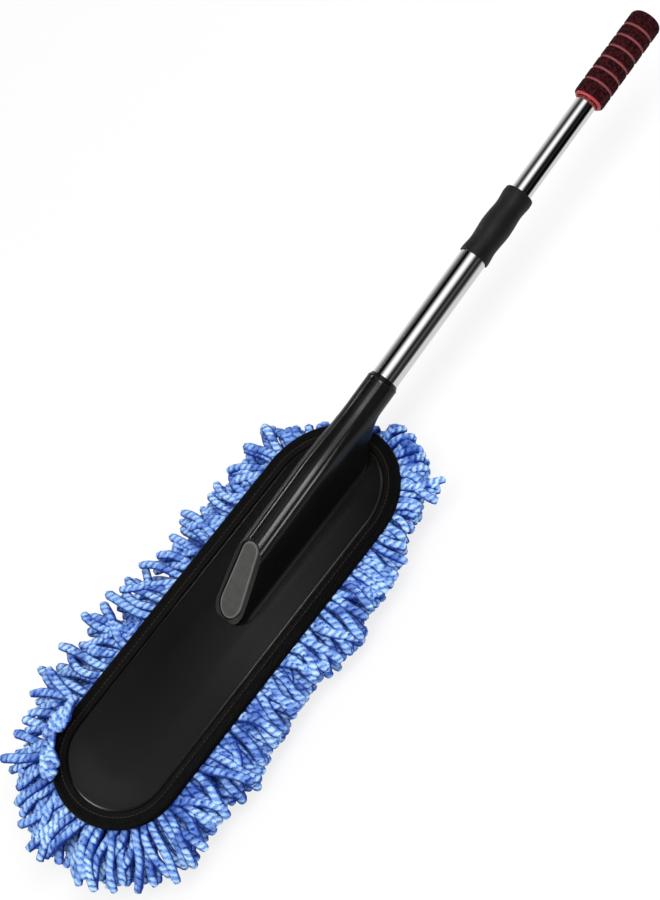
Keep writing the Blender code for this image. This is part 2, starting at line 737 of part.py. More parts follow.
def side_slices():
    """The cover's side wall in slices, each with three rows of strands."""
    points, normals = plate_curve(OUTLINE_COUNT)
    draw = np.random.default_rng(7)
    per = OUTLINE_COUNT // SIDE_SLICES
    for number in range(SIDE_SLICES):
        steps = [(number * per + i) % OUTLINE_COUNT for i in range(per + 1)]
        line = points[steps].copy()
        facing = normals[steps]
        first = (line[1] - line[0]) / np.linalg.norm(line[1] - line[0])
        last = (line[-2] - line[-1]) / np.linalg.norm(line[-2] - line[-1])
        line[0] = line[0] + first * GAP / 2
        line[-1] = line[-1] + last * GAP / 2
        rings = []
        for spot, out in zip(line, facing):
            inner = spot + out * GAP
            outer = spot + out * (GAP + BACKING)
            low = BACKING_LOW
            high = LEDGE_Z - GAP
            rings.append(np.array([(*inner, low), (*outer, low), (*outer, high), (*inner, high)]))
        name = f"side_strands_{number + 1}"
        wall = place(name, mesh_of(name, *lofted(rings, False)), strand_blue())
        shapes = []
        for i in range(per):
            middle = (points[steps[i]] + points[steps[i + 1]]) / 2
            chord = points[steps[i + 1]] - points[steps[i]]
            normal = np.array([chord[1], -chord[0]]) / np.linalg.norm(chord)
            stagger = SIDE_STAGGER_share * (1 if i % 2 else -1)
            for row in range(len(SIDE_ROW_shares)):
                shapes.append(side_strand(middle, normal, row, stagger, draw))
        combine(wall, strands_object(f"side_forms_{number + 1}", shapes), "UNION")


def half_width(x):
    """Half the paddle's width at one x, on the same many-sided outline as its other pieces."""
    points = plate_curve(OUTLINE_COUNT)[0]
    upper = points[points[:, 1] >= -GAP]
    upper = upper[np.argsort(upper[:, 0])]
    return float(np.interp(x, upper[:, 0], np.maximum(upper[:, 1], 0.0), left=0.0, right=0.0))


def wash_spots():
    """Places of the wash face's strands: staggered rows, one of them at the very middle."""
    columns = int((PLATE_LENGTH / 2) / WASH_PITCH)
    rows = int((PLATE_WIDTH / 2) / WASH_PITCH) + 1
    spots = []
    for i in range(-columns, columns + 1):
        shift = 0.5 if i % 2 else 0.0
        for j in range(-rows, rows + 1):
            x = i * WASH_PITCH
            y = (j + shift) * WASH_PITCH
            clear = STRAND_WIDTH / 2 + WASH_EDGE
            if abs(y) < min(half_width(x - clear), half_width(x + clear)) - clear:
                spots.append((x, y))
    return spots


def wash_slices():
    """The cover's wash face in slices, with strands that are cut flat where the mop stands on them."""
    low_x = -PLATE_LENGTH / 2 + WASH_TOE_START
    high_x = PLATE_LENGTH / 2 - WASH_TOE_START
    cuts = [low_x + (high_x - low_x) * share for share in WASH_CUT_shares]
    spots = wash_spots()
    draw = np.random.default_rng(11)
    sink_in = BACKING_LOW + SINK
    heights = np.array([BACKING_LOW, BACKING_LOW, BACKING_HIGH, BACKING_HIGH])
    clear = (STRAND_WIDTH + WASH_EDGE) / 2
    for number in range(len(cuts) - 1):
        start = cuts[number] + GAP / 2
        end = cuts[number + 1] - GAP / 2
        rings = []
        for x in np.linspace(start, end, WASH_STATIONS):
            wide = half_width(x)
            across = np.array([-wide, wide, wide, -wide])
            rings.append(np.column_stack([np.full(4, x), across, heights]))
        name = f"wash_strands_{number + 1}"
        panel = place(name, mesh_of(name, *lofted(rings, False)), strand_blue())
        shapes = []
        for x, y in spots:
            if not cuts[number] < x <= cuts[number + 1]:
                continue
            root_x = min(max(x, start + clear), end - clear)
            middle = x == 0.0 and y == 0.0
            lean_x, lean_y = (0.0, 0.0) if middle else draw.uniform(-STRAND_JITTER, STRAND_JITTER, 2)
            shapes.append(flat_strand((root_x, y, sink_in), (root_x + lean_x, y + lean_y, 0.0)))
        combine(panel, strands_object(f"wash_forms_{number + 1}", shapes), "UNION")


def flat_strand(root, tip):
    """One strand of the wash face, four-sided, with a level end."""
    corners = np.array([(1, 1), (-1, 1), (-1, -1), (1, -1)])
    rings = []
    for centre, width in ((root, STRAND_WIDTH), (tip, STRAND_TIP_WIDTH)):
        flat = np.array(centre[:2]) + corners * width / 2
        rings.append(np.column_stack([flat, np.full(4, centre[2])]))
    return lofted(rings, False)


def lower_tube(handle):
    """Outer tube of the handle, seated in the shell's socket."""
    profile = [(TUBE_START, LOWER_OUT), (TUBE_END, LOWER_OUT), (TUBE_END, LOWER_IN), (TUBE_START, LOWER_IN)]
    tube = turned("lower_tube", profile, tube_chrome(), handle)
    screw_way = cylinder("lower_tube_hole", SCREW_RADIUS + GAP, -LOWER_OUT - OVERRUN, 0.0, handle)
    screw_way.location = (TUBE_START + TUBE_SCREW_OFFSET, 0.0, 0.0)
    combine(tube, screw_way, "DIFFERENCE")
    return tube


def lower_tube_plug(handle):
    """Plug in the seated end of the lower tube, which the retaining screw bites."""
    radius = LOWER_IN - GAP
    profile = [(TUBE_START, radius), (TUBE_START + LOWER_PLUG_LENGTH, radius)]
    plug = turned("lower_tube_plug", profile, inner_plastic(), handle, INNER_SIDES, hollow=False)
    depth = TUBE_SCREW_LENGTH
    pilot = cylinder("plug_pilot", SCREW_RADIUS + GAP, -LOWER_OUT - OVERRUN, -LOWER_OUT + depth, handle)
    pilot.location = (TUBE_START + TUBE_SCREW_OFFSET, 0.0, 0.0)
    combine(plug, pilot, "DIFFERENCE")
    return plug


def tube_screw(handle):
    """Screw that holds the lower tube in its socket, driven up from inside the shell."""
    screw = place("tube_screw", screw_mesh("tube_screw", TUBE_SCREW_LENGTH), screw_steel(), handle)
    ramp = SCREW_HEAD_RADIUS * math.tan(HANDLE_RISE)
    seat = -BORE_RADIUS - BORE_FLOOR - SCREW_HEAD_HEIGHT - GAP - ramp
    screw.location = (TUBE_START + TUBE_SCREW_OFFSET, 0.0, seat)
    return screw


def collet_body(handle):
    """Split collet pressed into the lower tube's end; its fingers grip the upper tube."""
    inner_start = TUBE_END - COLLET_SLEEVE
    flange_start = TUBE_END + GAP
    flange_end = flange_start + COLLET_FLANGE
    barrel = RUN_RADIUS + COLLET_WALL
    taper_start = SKIRT_START + COLLAR_LENGTH / 2
    tip = COLLAR_END - COLLAR_END_WALL - COLLET_TIP_GAP
    profile = [
        (inner_start, SLEEVE_RADIUS),
        (flange_start, SLEEVE_RADIUS),
        (flange_start, LOWER_OUT),
        (flange_end, LOWER_OUT),
        (flange_end, barrel),
        (taper_start, barrel),
        (tip, barrel - COLLET_TAPER),
        (tip, RUN_RADIUS),
        (inner_start, RUN_RADIUS),
    ]
    collet = turned("collet_body", profile, inner_plastic(), handle, INNER_SIDES)
    reach = LOWER_OUT * 2
    slot_start = flange_end + COLLET_FLANGE * 2
    for index in range(COLLET_SLOTS):
        half = COLLET_SLOT / 2
        name = f"collet_slot_{index + 1}"
        slit = box((slot_start, -reach, -half), (tip + OVERRUN, reach, half))
        slab = place(name, mesh_of(name, *slit), inner_plastic(), handle)
        slab.rotation_euler = (math.pi * index / COLLET_SLOTS + math.pi / 4, 0.0, 0.0)
        combine(collet, slab, "DIFFERENCE")
    return collet


def lock_collar(handle):
    """Twist collar: a skirt over the lower tube's end, a swelling body and a short head."""
    start = SKIRT_START
    cavity = RUN_RADIUS + COLLET_WALL + GAP
    skirt_bore = LOWER_OUT + SKIRT_CLEARANCE
    step = TUBE_END + GAP + COLLET_FLANGE + GAP
    swell = (WAIST_RADIUS + BELLY_RADIUS) / 2
    radii = [
        SKIRT_RADIUS,
        SKIRT_RADIUS - (SKIRT_RADIUS - WAIST_RADIUS) * SKIRT_FALL_share,
        WAIST_RADIUS,
        swell,
        BELLY_RADIUS,
        swell,
        WAIST_RADIUS,
        (WAIST_RADIUS + COLLAR_HEAD_RADIUS) / 2,
        COLLAR_HEAD_RADIUS,
    ]
    outer = [(start, SKIRT_RADIUS - SKIRT_CLEARANCE / 2)]
    outer += [(start + COLLAR_LENGTH * share, radius) for share, radius in zip(COLLAR_PLACE_shares, radii)]
    outer += [
        (COLLAR_END - COLLAR_CHAMFER, COLLAR_HEAD_RADIUS),
        (COLLAR_END, COLLAR_HEAD_RADIUS - COLLAR_CHAMFER),
    ]
    inner = [
        (COLLAR_END, RUN_RADIUS),
        (COLLAR_END - COLLAR_END_WALL, RUN_RADIUS),
        (COLLAR_END - COLLAR_END_WALL - COLLET_TIP_GAP / 2, cavity),
        (step, cavity),
        (step, skirt_bore),
        (start, skirt_bore),
    ]
    return turned("lock_collar", outer + inner, shell_plastic(), handle)


def guide_bush(handle):
    """Plain bush near the inner end of the upper tube, which runs in the lower tube."""
    start = UPPER_TUBE_START + GAP
    end = start + BUSH_LENGTH
    profile = [(start, SLEEVE_RADIUS), (end, SLEEVE_RADIUS), (end, RUN_RADIUS), (start, RUN_RADIUS)]
    return turned("guide_bush", profile, inner_plastic(), handle, INNER_SIDES)


def upper_tube(handle):
    """Inner tube of the handle, with the rolled bead that holds its bush."""
    bead = UPPER_TUBE_START + GAP + BUSH_LENGTH + GAP
    profile = [
        (UPPER_TUBE_START, UPPER_OUT),
        (bead, UPPER_OUT),
        (bead + BEAD_LENGTH / 3, UPPER_OUT + BEAD_HEIGHT),
        (bead + BEAD_LENGTH * 2 / 3, UPPER_OUT + BEAD_HEIGHT),
        (bead + BEAD_LENGTH, UPPER_OUT),
        (UPPER_TUBE_END, UPPER_OUT),
        (UPPER_TUBE_END, UPPER_IN),
        (UPPER_TUBE_START, UPPER_IN),
    ]
    return turned("upper_tube", profile, tube_chrome(), handle)


def inner_end_plug(handle):
    """Plug in the inner end of the upper tube, whose flange keeps the bush on."""
    flange_radius = (UPPER_OUT + LOWER_IN) / 2
    spigot = UPPER_IN - GAP
    profile = [
        (UPPER_TUBE_START - GAP - PLUG_FLANGE, flange_radius),
        (UPPER_TUBE_START - GAP, flange_radius),
        (UPPER_TUBE_START - GAP, spigot),
        (UPPER_TUBE_START + PLUG_SPIGOT, spigot),
    ]
    return turned("inner_end_plug", profile, inner_plastic(), handle, INNER_SIDES, hollow=False)


def grip_core(handle):
    """Red inner foam of the grip; its front lip shows past the dark sleeve."""
    outer = RUN_RADIUS + GRIP_CORE_WALL
    profile = [
        (GRIP_START + GRIP_LIP, outer),
        (CAP_START - GAP, outer),
        (CAP_START - GAP, RUN_RADIUS),
        (GRIP_START, RUN_RADIUS),
        (GRIP_START - GRIP_LIP / 2, (RUN_RADIUS + outer) / 2),
        (GRIP_START, outer),
    ]
    return turned("grip_core", profile, grip_red(), handle)


def grip_sleeve(handle):
    """Dark outer foam of the grip, with narrow grooves cut round it."""
    inner = RUN_RADIUS + GRIP_CORE_WALL + GAP
    start = GRIP_START + GRIP_LIP / 2
    outer = [
        (start, GRIP_RADIUS - GRIP_ROUND),
        (start + GRIP_ROUND / 3, GRIP_RADIUS - GRIP_ROUND / 3),
        (start + GRIP_ROUND, GRIP_RADIUS),
    ]
    for middle in np.linspace(GRIP_START + GROOVE_FIRST, CAP_START - GROOVE_LAST, GROOVE_COUNT):
        outer.append((middle - GROOVE_HALF, GRIP_RADIUS))
        outer.append((middle, GRIP_RADIUS - GROOVE_DEPTH))
        outer.append((middle + GROOVE_HALF, GRIP_RADIUS))
    outer.append((CAP_START - GAP, GRIP_RADIUS))
    return turned("grip_sleeve", outer + [(CAP_START - GAP, inner), (start, inner)], grip_black(), handle)


def butt_cap(handle):
    """Domed cap that plugs the upper tube and closes the grip."""
    spigot = UPPER_IN - GAP
    profile = [(CAP_START - CAP_SPIGOT, spigot), (CAP_START, spigot), (CAP_START, GRIP_RADIUS)]
    for share in np.linspace(0.0, CAP_TURN_share, CAP_TURN_STEPS):
        turn = share * math.pi / 2
        u = GRIP_END - CAP_ROUND + CAP_ROUND * math.sin(turn)
        profile.append((u, GRIP_RADIUS - CAP_ROUND + CAP_ROUND * math.cos(turn)))
    return turned("butt_cap", profile, grip_black(), handle, hollow=False)


def main():
    """Clears the scene and builds every piece."""
    for thing in list(bpy.data.objects):
        bpy.data.objects.remove(thing, do_unlink=True)
    handle = bpy.data.objects.new("handle_axis", None)
    bpy.context.scene.collection.objects.link(handle)
    handle.location = (AXIS_X, 0.0, axis_height(AXIS_X))
    handle.rotation_euler = (0.0, -HANDLE_RISE, 0.0)
    paddle_shell(handle)
    end_insert(handle)
    base_plate()
    base_screws()
    foam_pad()
    edge_binding()
    side_slices()
    wash_slices()
    lower_tube(handle)
    lower_tube_plug(handle)
    tube_screw(handle)
    collet_body(handle)
    lock_collar(handle)
    guide_bush(handle)
    upper_tube(handle)
    inner_end_plug(handle)
    grip_core(handle)
    grip_sleeve(handle)
    butt_cap(handle)
    bpy.context.view_layer.update()


main()
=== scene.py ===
# %% [markdown]
# # A car wash brush in Blender
# This lesson dresses a ready CAD model of a car wash brush: a black oblong paddle, a cover fringed with blue
# microfibre cords, and a telescoping handle. The CAD model is loaded as a fixed frame and isn't changed. Each
# visible form is worked out with numpy as a surface over two parameters, and gets a material made of nodes.

# %% Tools and the fixed frame
import math

import bmesh
import bpy
import numpy as np
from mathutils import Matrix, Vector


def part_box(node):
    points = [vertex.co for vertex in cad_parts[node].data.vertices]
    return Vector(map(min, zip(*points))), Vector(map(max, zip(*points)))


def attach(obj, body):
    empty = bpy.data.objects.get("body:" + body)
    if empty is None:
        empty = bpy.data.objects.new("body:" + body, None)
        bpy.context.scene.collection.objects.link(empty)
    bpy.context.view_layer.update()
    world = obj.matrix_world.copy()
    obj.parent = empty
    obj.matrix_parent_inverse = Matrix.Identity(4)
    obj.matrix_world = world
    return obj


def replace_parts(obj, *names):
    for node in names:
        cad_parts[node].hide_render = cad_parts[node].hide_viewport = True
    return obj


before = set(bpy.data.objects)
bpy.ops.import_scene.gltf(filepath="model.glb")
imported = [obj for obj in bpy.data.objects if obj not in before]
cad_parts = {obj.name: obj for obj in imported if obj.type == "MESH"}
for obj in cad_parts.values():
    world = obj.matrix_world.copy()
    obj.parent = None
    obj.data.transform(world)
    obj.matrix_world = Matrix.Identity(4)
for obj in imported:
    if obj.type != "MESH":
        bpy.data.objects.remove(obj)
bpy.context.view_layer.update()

# %% [markdown]
# ## Sizes
# All sizes are metres in the CAD model's frame: Z up, and the paddle along X with its toe at -X. The handle
# leaves over the heel, rising four degrees. A point on it is given by u along its axis, y across, and w
# square to both.

# %% Sizes of the paddle and of the handle's axis
PADDLE_LENGTH = 0.353
PADDLE_WIDTH = 0.108
TOE_DEPTH = 0.047
HEEL_DEPTH = 0.058
COVER_LOW = 0.024
COVER_THICK = 0.0025
SKIRT_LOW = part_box("paddle_shell")[0].z
LEDGE = SKIRT_LOW + 0.011
DECK = LEDGE + 0.0015
CROWN = 0.0012
GAP = 0.0003

RISE = math.radians(4.0)
AXIS_X = 0.028
AXIS_Z = DECK + 0.021
SOCKET_END = (PADDLE_LENGTH / 2 + 0.035 - AXIS_X) / math.cos(RISE)
SKIRT_START = SOCKET_END + 0.1165
COLLAR_END = SKIRT_START + 0.0615
GRIP_START = COLLAR_END + 0.0915
GRIP_END = GRIP_START + 0.0815
CAP_START = GRIP_END - 0.0065
print("deck at", round(DECK, 4), "and axis anchor at", round(AXIS_Z, 4))


def from_handle(points):
    """Turns (u, y, w) points of the handle's own frame into places of the scene, by the handle's rise."""
    u, y, w = np.moveaxis(np.asarray(points, float), -1, 0)
    x = AXIS_X + u * math.cos(RISE) - w * math.sin(RISE)
    z = AXIS_Z + u * math.sin(RISE) + w * math.cos(RISE)
    return np.stack([x, y, z], axis=-1)


def axis_height(x):
    """Height of the handle's axis over the floor at one x: its anchor's height plus the rise from there."""
    return AXIS_Z + (x - AXIS_X) * math.tan(RISE)


def ease(value, low, high):
    """Goes from 0 at low to 1 at high along 3t^2 - 2t^3, so that it starts and ends without a corner."""
    t = np.clip((value - low) / (high - low), 0.0, 1.0)
    return t * t * (3.0 - 2.0 * t)


# %% [markdown]
# ## From a grid of points to a closed piece
# Nearly every piece here is a tube of rings: a profile carried along a path. The numbering of its corners
# gives all faces at once. Blender's primitives would be quicker to add, but a grid keeps every shape a
# formula that can be read and changed.

# %% Faces of a grid, and a piece from them
def tube_faces(rings, sides, loop=False):
    """Four-cornered faces: corner s of ring r joins corner s + 1 and the same two of the next ring."""
    ring = np.arange(rings if loop else rings - 1)[:, None]
    side = np.arange(sides)[None, :]
    onward = (ring + 1) % rings
    beside = (side + 1) % sides
    corners = [ring * sides + side, ring * sides + beside, onward * sides + beside, onward * sides + side]
    return np.stack(np.broadcast_arrays(*corners), axis=-1).reshape(-1, 4)


def closed_tubes(count, rings, sides):
    """Faces of many alike closed tubes: one tube's walls and flat ends, with their numbers moved on."""
    first = np.arange(sides)
    ends = np.stack([first[::-1], first + (rings - 1) * sides])
    start = np.arange(count)[:, None, None] * rings * sides
    parts = [(part + start).reshape(-1, part.shape[1]).tolist() for part in (tube_faces(rings, sides), ends)]
    return parts[0] + parts[1]


def capped(rings):
    """Points and faces of a stack of rings that a flat face closes at each end."""
    return rings.reshape(-1, 3), closed_tubes(1, *rings.shape[:2])


def tube_uv(around, along):
    """Corner places on the tube's own map: each face runs to the next step around and along."""
    low_u, low_v = np.meshgrid(around[:-1], along[:-1])
    high_u, high_v = np.meshgrid(around[1:], along[1:])
    corners = [(low_u, low_v), (high_u, low_v), (high_u, high_v), (low_u, high_v)]
    return np.stack([np.stack(corner, axis=-1) for corner in corners], axis=-2).reshape(-1, 4, 2)


def face_outwards(mesh):
    """Turns the faces of every closed part of a mesh outwards; maps go with their corners."""
    work = bmesh.new()
    work.from_mesh(mesh)
    bmesh.ops.recalc_face_normals(work, faces=work.faces)
    work.to_mesh(mesh)
    work.free()


def new_mesh(name, points, faces):
    """A mesh of points, in a grid of any shape, and of faces by the numbers of their corners."""
    mesh = bpy.data.meshes.new(name)
    corners = np.asarray(points, float).reshape(-1, 3).tolist()
    mesh.from_pydata(corners, [], [list(map(int, face)) for face in faces])
    return mesh


def mark_points(mesh, name, values):
    """Stores a number on each point of a mesh, where a material can read it."""
    store = mesh.attributes.new(name, "FLOAT", "POINT")
    store.data.foreach_set("value", np.asarray(values, float).ravel())


def add_object(name, data):
    """Makes an object of a mesh, a light or a camera, and puts it in the scene."""
    thing = bpy.data.objects.new(name, data)
    bpy.context.scene.collection.objects.link(thing)
    return thing


def piece(name, points, faces, finish, body, slot, uv=None, marks=None, sharp=40.0):
    """Makes one piece from points and faces, smooth but for edges sharper than an angle in degrees."""
    mesh = new_mesh(name, points, faces)
    if uv is not None:
        mesh.uv_layers.new(name="lay").data.foreach_set("uv", np.asarray(uv, float).ravel())
    for mark, values in (marks or {}).items():
        mark_points(mesh, mark, values)
    face_outwards(mesh)
    mesh.shade_smooth()
    mesh.set_sharp_from_angle(angle=math.radians(sharp))
    mesh.materials.append(finish.material)
    thing = add_object(name, mesh)
    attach(thing, body)
    print(name, "has", len(mesh.vertices), "points")
    return thing


# %% Directions, circles and half ellipses
def unit(vectors):
    """Vectors in the same directions, all one long."""
    return vectors / np.linalg.norm(vectors, axis=-1, keepdims=True)


def joined(*parts):
    """Coordinates side by side as points, once each part is spread over the whole grid."""
    grid = np.broadcast_shapes(*(part.shape[:-1] for part in parts))
    return np.concatenate([np.broadcast_to(part, (*grid, part.shape[-1])) for part in parts], axis=-1)


def circle(count):
    """(cosine, sine) at equal steps of a turn."""
    turn = np.linspace(0.0, math.tau, count, endpoint=False)
    return np.column_stack([np.cos(turn), np.sin(turn)])


def half_ellipse(middle, deep, wide, count):
    """Points (middle + deep cos t, wide sin t) for t from a quarter turn back to a quarter turn on."""
    turn = np.linspace(-math.pi / 2, math.pi / 2, count)
    return np.column_stack([middle + deep * np.cos(turn), wide * np.sin(turn)])


# %% [markdown]
# ## Shader sums as Python sums
# A material's pattern is a sum over the surface. Placing each Math node by hand hides that sum, so a small
# class wraps a socket, and Python's own signs on it add the nodes.

# %% A number in a material
class Number:
    """One output socket; a sum with it adds a Math node and gives that node's output back."""

    def __init__(self, finish, socket):
        self.finish = finish
        self.socket = socket

    def math(self, operation, *values):
        """Adds one Math node with these values in its sockets."""
        return self.finish.node("Math", {"operation": operation}, dict(enumerate(values)))

    def __add__(self, other):
        return self.math("ADD", self, other)

    def __sub__(self, other):
        return self.math("SUBTRACT", self, other)

    def __rsub__(self, other):
        return self.math("SUBTRACT", other, self)

    def __mul__(self, other):
        return self.math("MULTIPLY", self, other)

    def __truediv__(self, other):
        return self.math("DIVIDE", self, other)

    __radd__ = __add__
    __rmul__ = __mul__

    def wave(self):
        """Cosine of whole turns, brought to 0..1: 0.5 + 0.5 cos(2 pi value)."""
        return self.math("COSINE", self * math.tau) * 0.5 + 0.5

    def between(self, low, high):
        """0 below low, 1 above high, and a soft step from one to the other."""
        settings = {"interpolation_type": "SMOOTHSTEP"}
        return self.finish.node("MapRange", settings, {0: self, 1: low, 2: high})


# %% A graph of nodes
class Graph:
    """The nodes of a material or of the world."""

    def __init__(self, owner):
        owner.use_nodes = True
        self.tree = owner.node_tree

    def put(self, socket, value):
        """Puts a link or a plain value into a socket."""
        if isinstance(value, Number):
            self.tree.links.new(value.socket, socket)
        else:
            socket.default_value = value

    def node(self, kind, settings=None, sockets=None, output=0):
        """Adds a shader node of a kind: its settings first, then its sockets."""
        made = self.tree.nodes.new("ShaderNode" + kind)
        for setting, value in (settings or {}).items():
            setattr(made, setting, value)
        for socket, value in (sockets or {}).items():
            self.put(made.inputs[socket], value)
        return Number(self, made.outputs[output])

    def ray(self, kind):
        """1 for a kind of ray and 0 for others."""
        return self.node("LightPath", output=f"Is {kind} Ray")


# %% A material under construction
class Finish(Graph):
    """A Principled material and what its patterns are made of.

    Its plain colour and roughness are what a viewer shows that doesn't read nodes.
    """

    def __init__(self, name, colour, roughness, metallic=0.0, specular=0.5, sheen=None):
        self.material = bpy.data.materials.new(name)
        super().__init__(self.material)
        self.shader = self.tree.nodes["Principled BSDF"]
        plain = {"Base Color": (*colour, 1.0), "Roughness": roughness, "Metallic": metallic}
        plain["Specular IOR Level"] = specular
        for socket, value in (plain | (sheen or {})).items():
            self.feed(socket, value)
        print("made", name)

    def feed(self, socket, value):
        """Puts a value, or a link to what changes over the surface, into a socket of the shader."""
        self.put(self.shader.inputs[socket], value)

    def place(self):
        """Object coordinates, which are metres here."""
        return self.node("TexCoord", output=3)

    def noise(self, size, detail, stretch=None):
        """Noise with grains about size metres wide, stretched along an axis where a scale is given."""
        at = self.place()
        if stretch:
            at = self.node("Mapping", None, {"Vector": at, "Scale": stretch})
        sockets = {"Vector": at, "Scale": 1.0 / size, "Detail": detail}
        return self.node("TexNoise", None, sockets)

    def colours(self, factor, first, second):
        """Mixes two colours by a factor."""
        sides = [value if isinstance(value, Number) else (*value, 1.0) for value in (first, second)]
        sockets = {0: factor, 6: sides[0], 7: sides[1]}
        return self.node("Mix", {"data_type": "RGBA"}, sockets, output=2)

    def tint(self, factor, first, second):
        """Feeds the base colour a mix of two colours."""
        self.feed("Base Color", self.colours(factor, first, second))

    def own_map(self):
        """The piece's own map, as u and v numbers."""
        uv = self.node("UVMap", {"uv_map": "lay"})
        return [self.node("SeparateXYZ", None, {0: uv}, output) for output in (0, 1)]

    def mark(self, name):
        """A number stored on the piece's points."""
        return self.node("Attribute", {"attribute_name": name}, output=2)

    def bump(self, height, distance, strength=1.0):
        """Lets light see height, a 0..1 number, as relief of a distance in metres."""
        sockets = {"Height": height, "Distance": distance, "Strength": strength}
        self.feed("Normal", self.node("Bump", None, sockets))

    def surface(self, shader):
        """Shows another shader in place of the Principled one."""
        self.put(self.tree.nodes["Material Output"].inputs["Surface"], shader)


# %% [markdown]
# ## Moulded black plastic
# The paddle is a polypropylene moulding: near black, satin, with the fine grain of a spark-eroded mould. A
# noise of half a millimetre gives the grain as relief. A wide, weak noise in the roughness stands for
# handling marks, because an even gloss over a large part looks like paint. The insert's grey is mottled at
# two sizes.

# %% Black moulding
moulded = Finish("shell_black_finish", (0.004, 0.004, 0.004), 0.36, specular=0.26)
grain = moulded.noise(0.00045, 3.0)
smudge = moulded.noise(0.045, 3.0)
moulded.feed("Roughness", 0.14 + 0.07 * smudge + 0.05 * grain)
moulded.tint(smudge, (0.0034, 0.0035, 0.0034), (0.0052, 0.0053, 0.0051))
moulded.bump(grain, 0.00003, 0.5)

# %% Grey textured insert
textured = Finish("insert_grey_finish", (0.045, 0.045, 0.043), 0.6, specular=0.35)
peened = textured.noise(0.0007, 4.0)
cloudy = textured.noise(0.006, 2.0)
rim_wear_and_highlight = textured.mark("rim")
swirls = (peened * 0.6 + cloudy * 0.4).between(0.3, 0.7)
plate = textured.colours(swirls, (0.026, 0.026, 0.025), (0.054, 0.054, 0.051))
# The rim's lighter grey is partly wear and partly a painted highlight.
textured.tint(rim_wear_and_highlight * 0.85, plate, (0.13, 0.13, 0.12))
textured.feed("Roughness", 0.48 + 0.2 * peened)
textured.bump(peened, 0.00012, 0.8)

# %% [markdown]
# ## The paddle's outline
# The outline is half an ellipse at each end, with straight sides between. Equal steps along it are found by
# measuring a fine copy of it and reading that back at even lengths. A ring inside or outside the outline
# moves each point along its own normal.

# %% Outline of the paddle
def outline(count):
    """Points at equal steps along the outline, their outward normals, and the outline's length."""
    half, wide, fine = PADDLE_LENGTH / 2, PADDLE_WIDTH / 2, 720
    toe = half_ellipse(TOE_DEPTH - half, -TOE_DEPTH, -wide, fine + 1)
    heel = half_ellipse(half - HEEL_DEPTH, HEEL_DEPTH, wide, fine + 1)
    loop = np.vstack([toe[fine // 2:], heel, toe[:fine // 2 + 1]])
    step = np.linalg.norm(np.diff(loop, axis=0), axis=1)
    loop = loop[np.append(True, step > 1e-7)]
    run = np.append(0.0, np.cumsum(np.linalg.norm(np.diff(loop, axis=0), axis=1)))
    at = np.linspace(0.0, run[-1], count, endpoint=False)
    points = np.column_stack([np.interp(at, run, loop[:, 0]), np.interp(at, run, loop[:, 1])])
    tangent = unit(np.roll(points, -1, axis=0) - np.roll(points, 1, axis=0))
    return points, np.column_stack([tangent[:, 1], -tangent[:, 0]]), run[-1]


RIM_STEPS = 288
rim_points, rim_normals, rim_length = outline(RIM_STEPS)
print("the outline is", round(rim_length, 3), "m round")


def rim_rings(sections):
    """A ring round the paddle for each (outward offset, height): the outline moved along its normals."""
    offset, height = np.asarray(sections, float).T
    return joined(rim_points + rim_normals * offset[:, None, None], height[:, None, None])


def corners_cut(line, times=2, loop=False):
    """Rounds a line by corner cutting: points at a quarter and three quarters replace each side."""
    line = np.asarray(line, float)
    for _ in range(times):
        after = np.roll(line, -1, axis=0) if loop else line[1:]
        before = line if loop else line[:-1]
        cut = np.stack([before * 0.75 + after * 0.25, before * 0.25 + after * 0.75], axis=1)
        cut = cut.reshape(-1, *line.shape[1:])
        line = cut if loop else np.concatenate([line[:1], cut, line[-1:]])
    return line


# %% [markdown]
# ## The deck
# Seen from above the shell is a low crowned deck with a step down to a ledge, where the cover's binding sits.
# The step's rounded edge catches the thin light line that runs round the toe. A bevel modifier could round it
# too, but in the profile its width is known.

# %% Deck, ledge and skirt
crown_run = np.linspace(0.0, 1.0, 9)
deck_edge = -0.011
crown = np.column_stack([deck_edge - 0.025 * crown_run, DECK + CROWN * ease(crown_run, 0.0, 1.0)])
edge = [(-0.0086, LEDGE), (-0.0087, DECK - 0.0011), (-0.0104, DECK), (deck_edge, DECK)]
skirt = corners_cut([(0.0, SKIRT_LOW + 0.008), (0.0, LEDGE), (-0.003, LEDGE)], 3)
under = [(-0.0028, LEDGE - 0.003), (-0.0028, SKIRT_LOW), (0.0, SKIRT_LOW)]
deck_profile = np.vstack([under, skirt, corners_cut(edge, 3), crown[1:]])
deck = piece("paddle_deck", *capped(rim_rings(deck_profile)), moulded, "head", "shell_black", sharp=50.0)

# %% [markdown]
# ## The ridge and the socket
# The ridge grows out of the deck behind a slanted face and turns into the round socket that holds the tube.
# Its section has a flat crest, a chamfer on each side that catches the light, a fine step under it, rounded
# shoulders and flanks that flare into the deck. Carrying a changing section along the axis keeps those lines
# crisp, which a voxel remesh would wash out.

# %% Section of the ridge
CREST = 0.015
SOCKET_RADIUS = 0.0127
SOCKET_BORE = 0.0113
RIDGE_FRONT = -0.0025
NOSE_LONG = 0.012
FACE_TOP = 0.0562
LIFT_START = PADDLE_LENGTH / 2 - 0.022
CREST_LINE = [(0.0, 0.015), (0.0022, 0.015), (0.0036, 0.0149), (0.0049, 0.01458), (0.008, 0.013),
              (0.0084, 0.0125)]
SHOULDER_LINE = [(0.0086, 0.012), (0.0091, 0.012), (0.011, 0.0111), (0.0121, 0.0096), (0.0126, 0.0072)]
FLANK_LINE = [(0.013, 0.0042), (0.0134, 0.001), (0.0138, -0.0022)]
FLARE = [(0.0143, 0.0052), (0.0147, 0.0018), (0.0152, 0.0006), (0.0159, 0.0), (0.0169, -0.0016)]


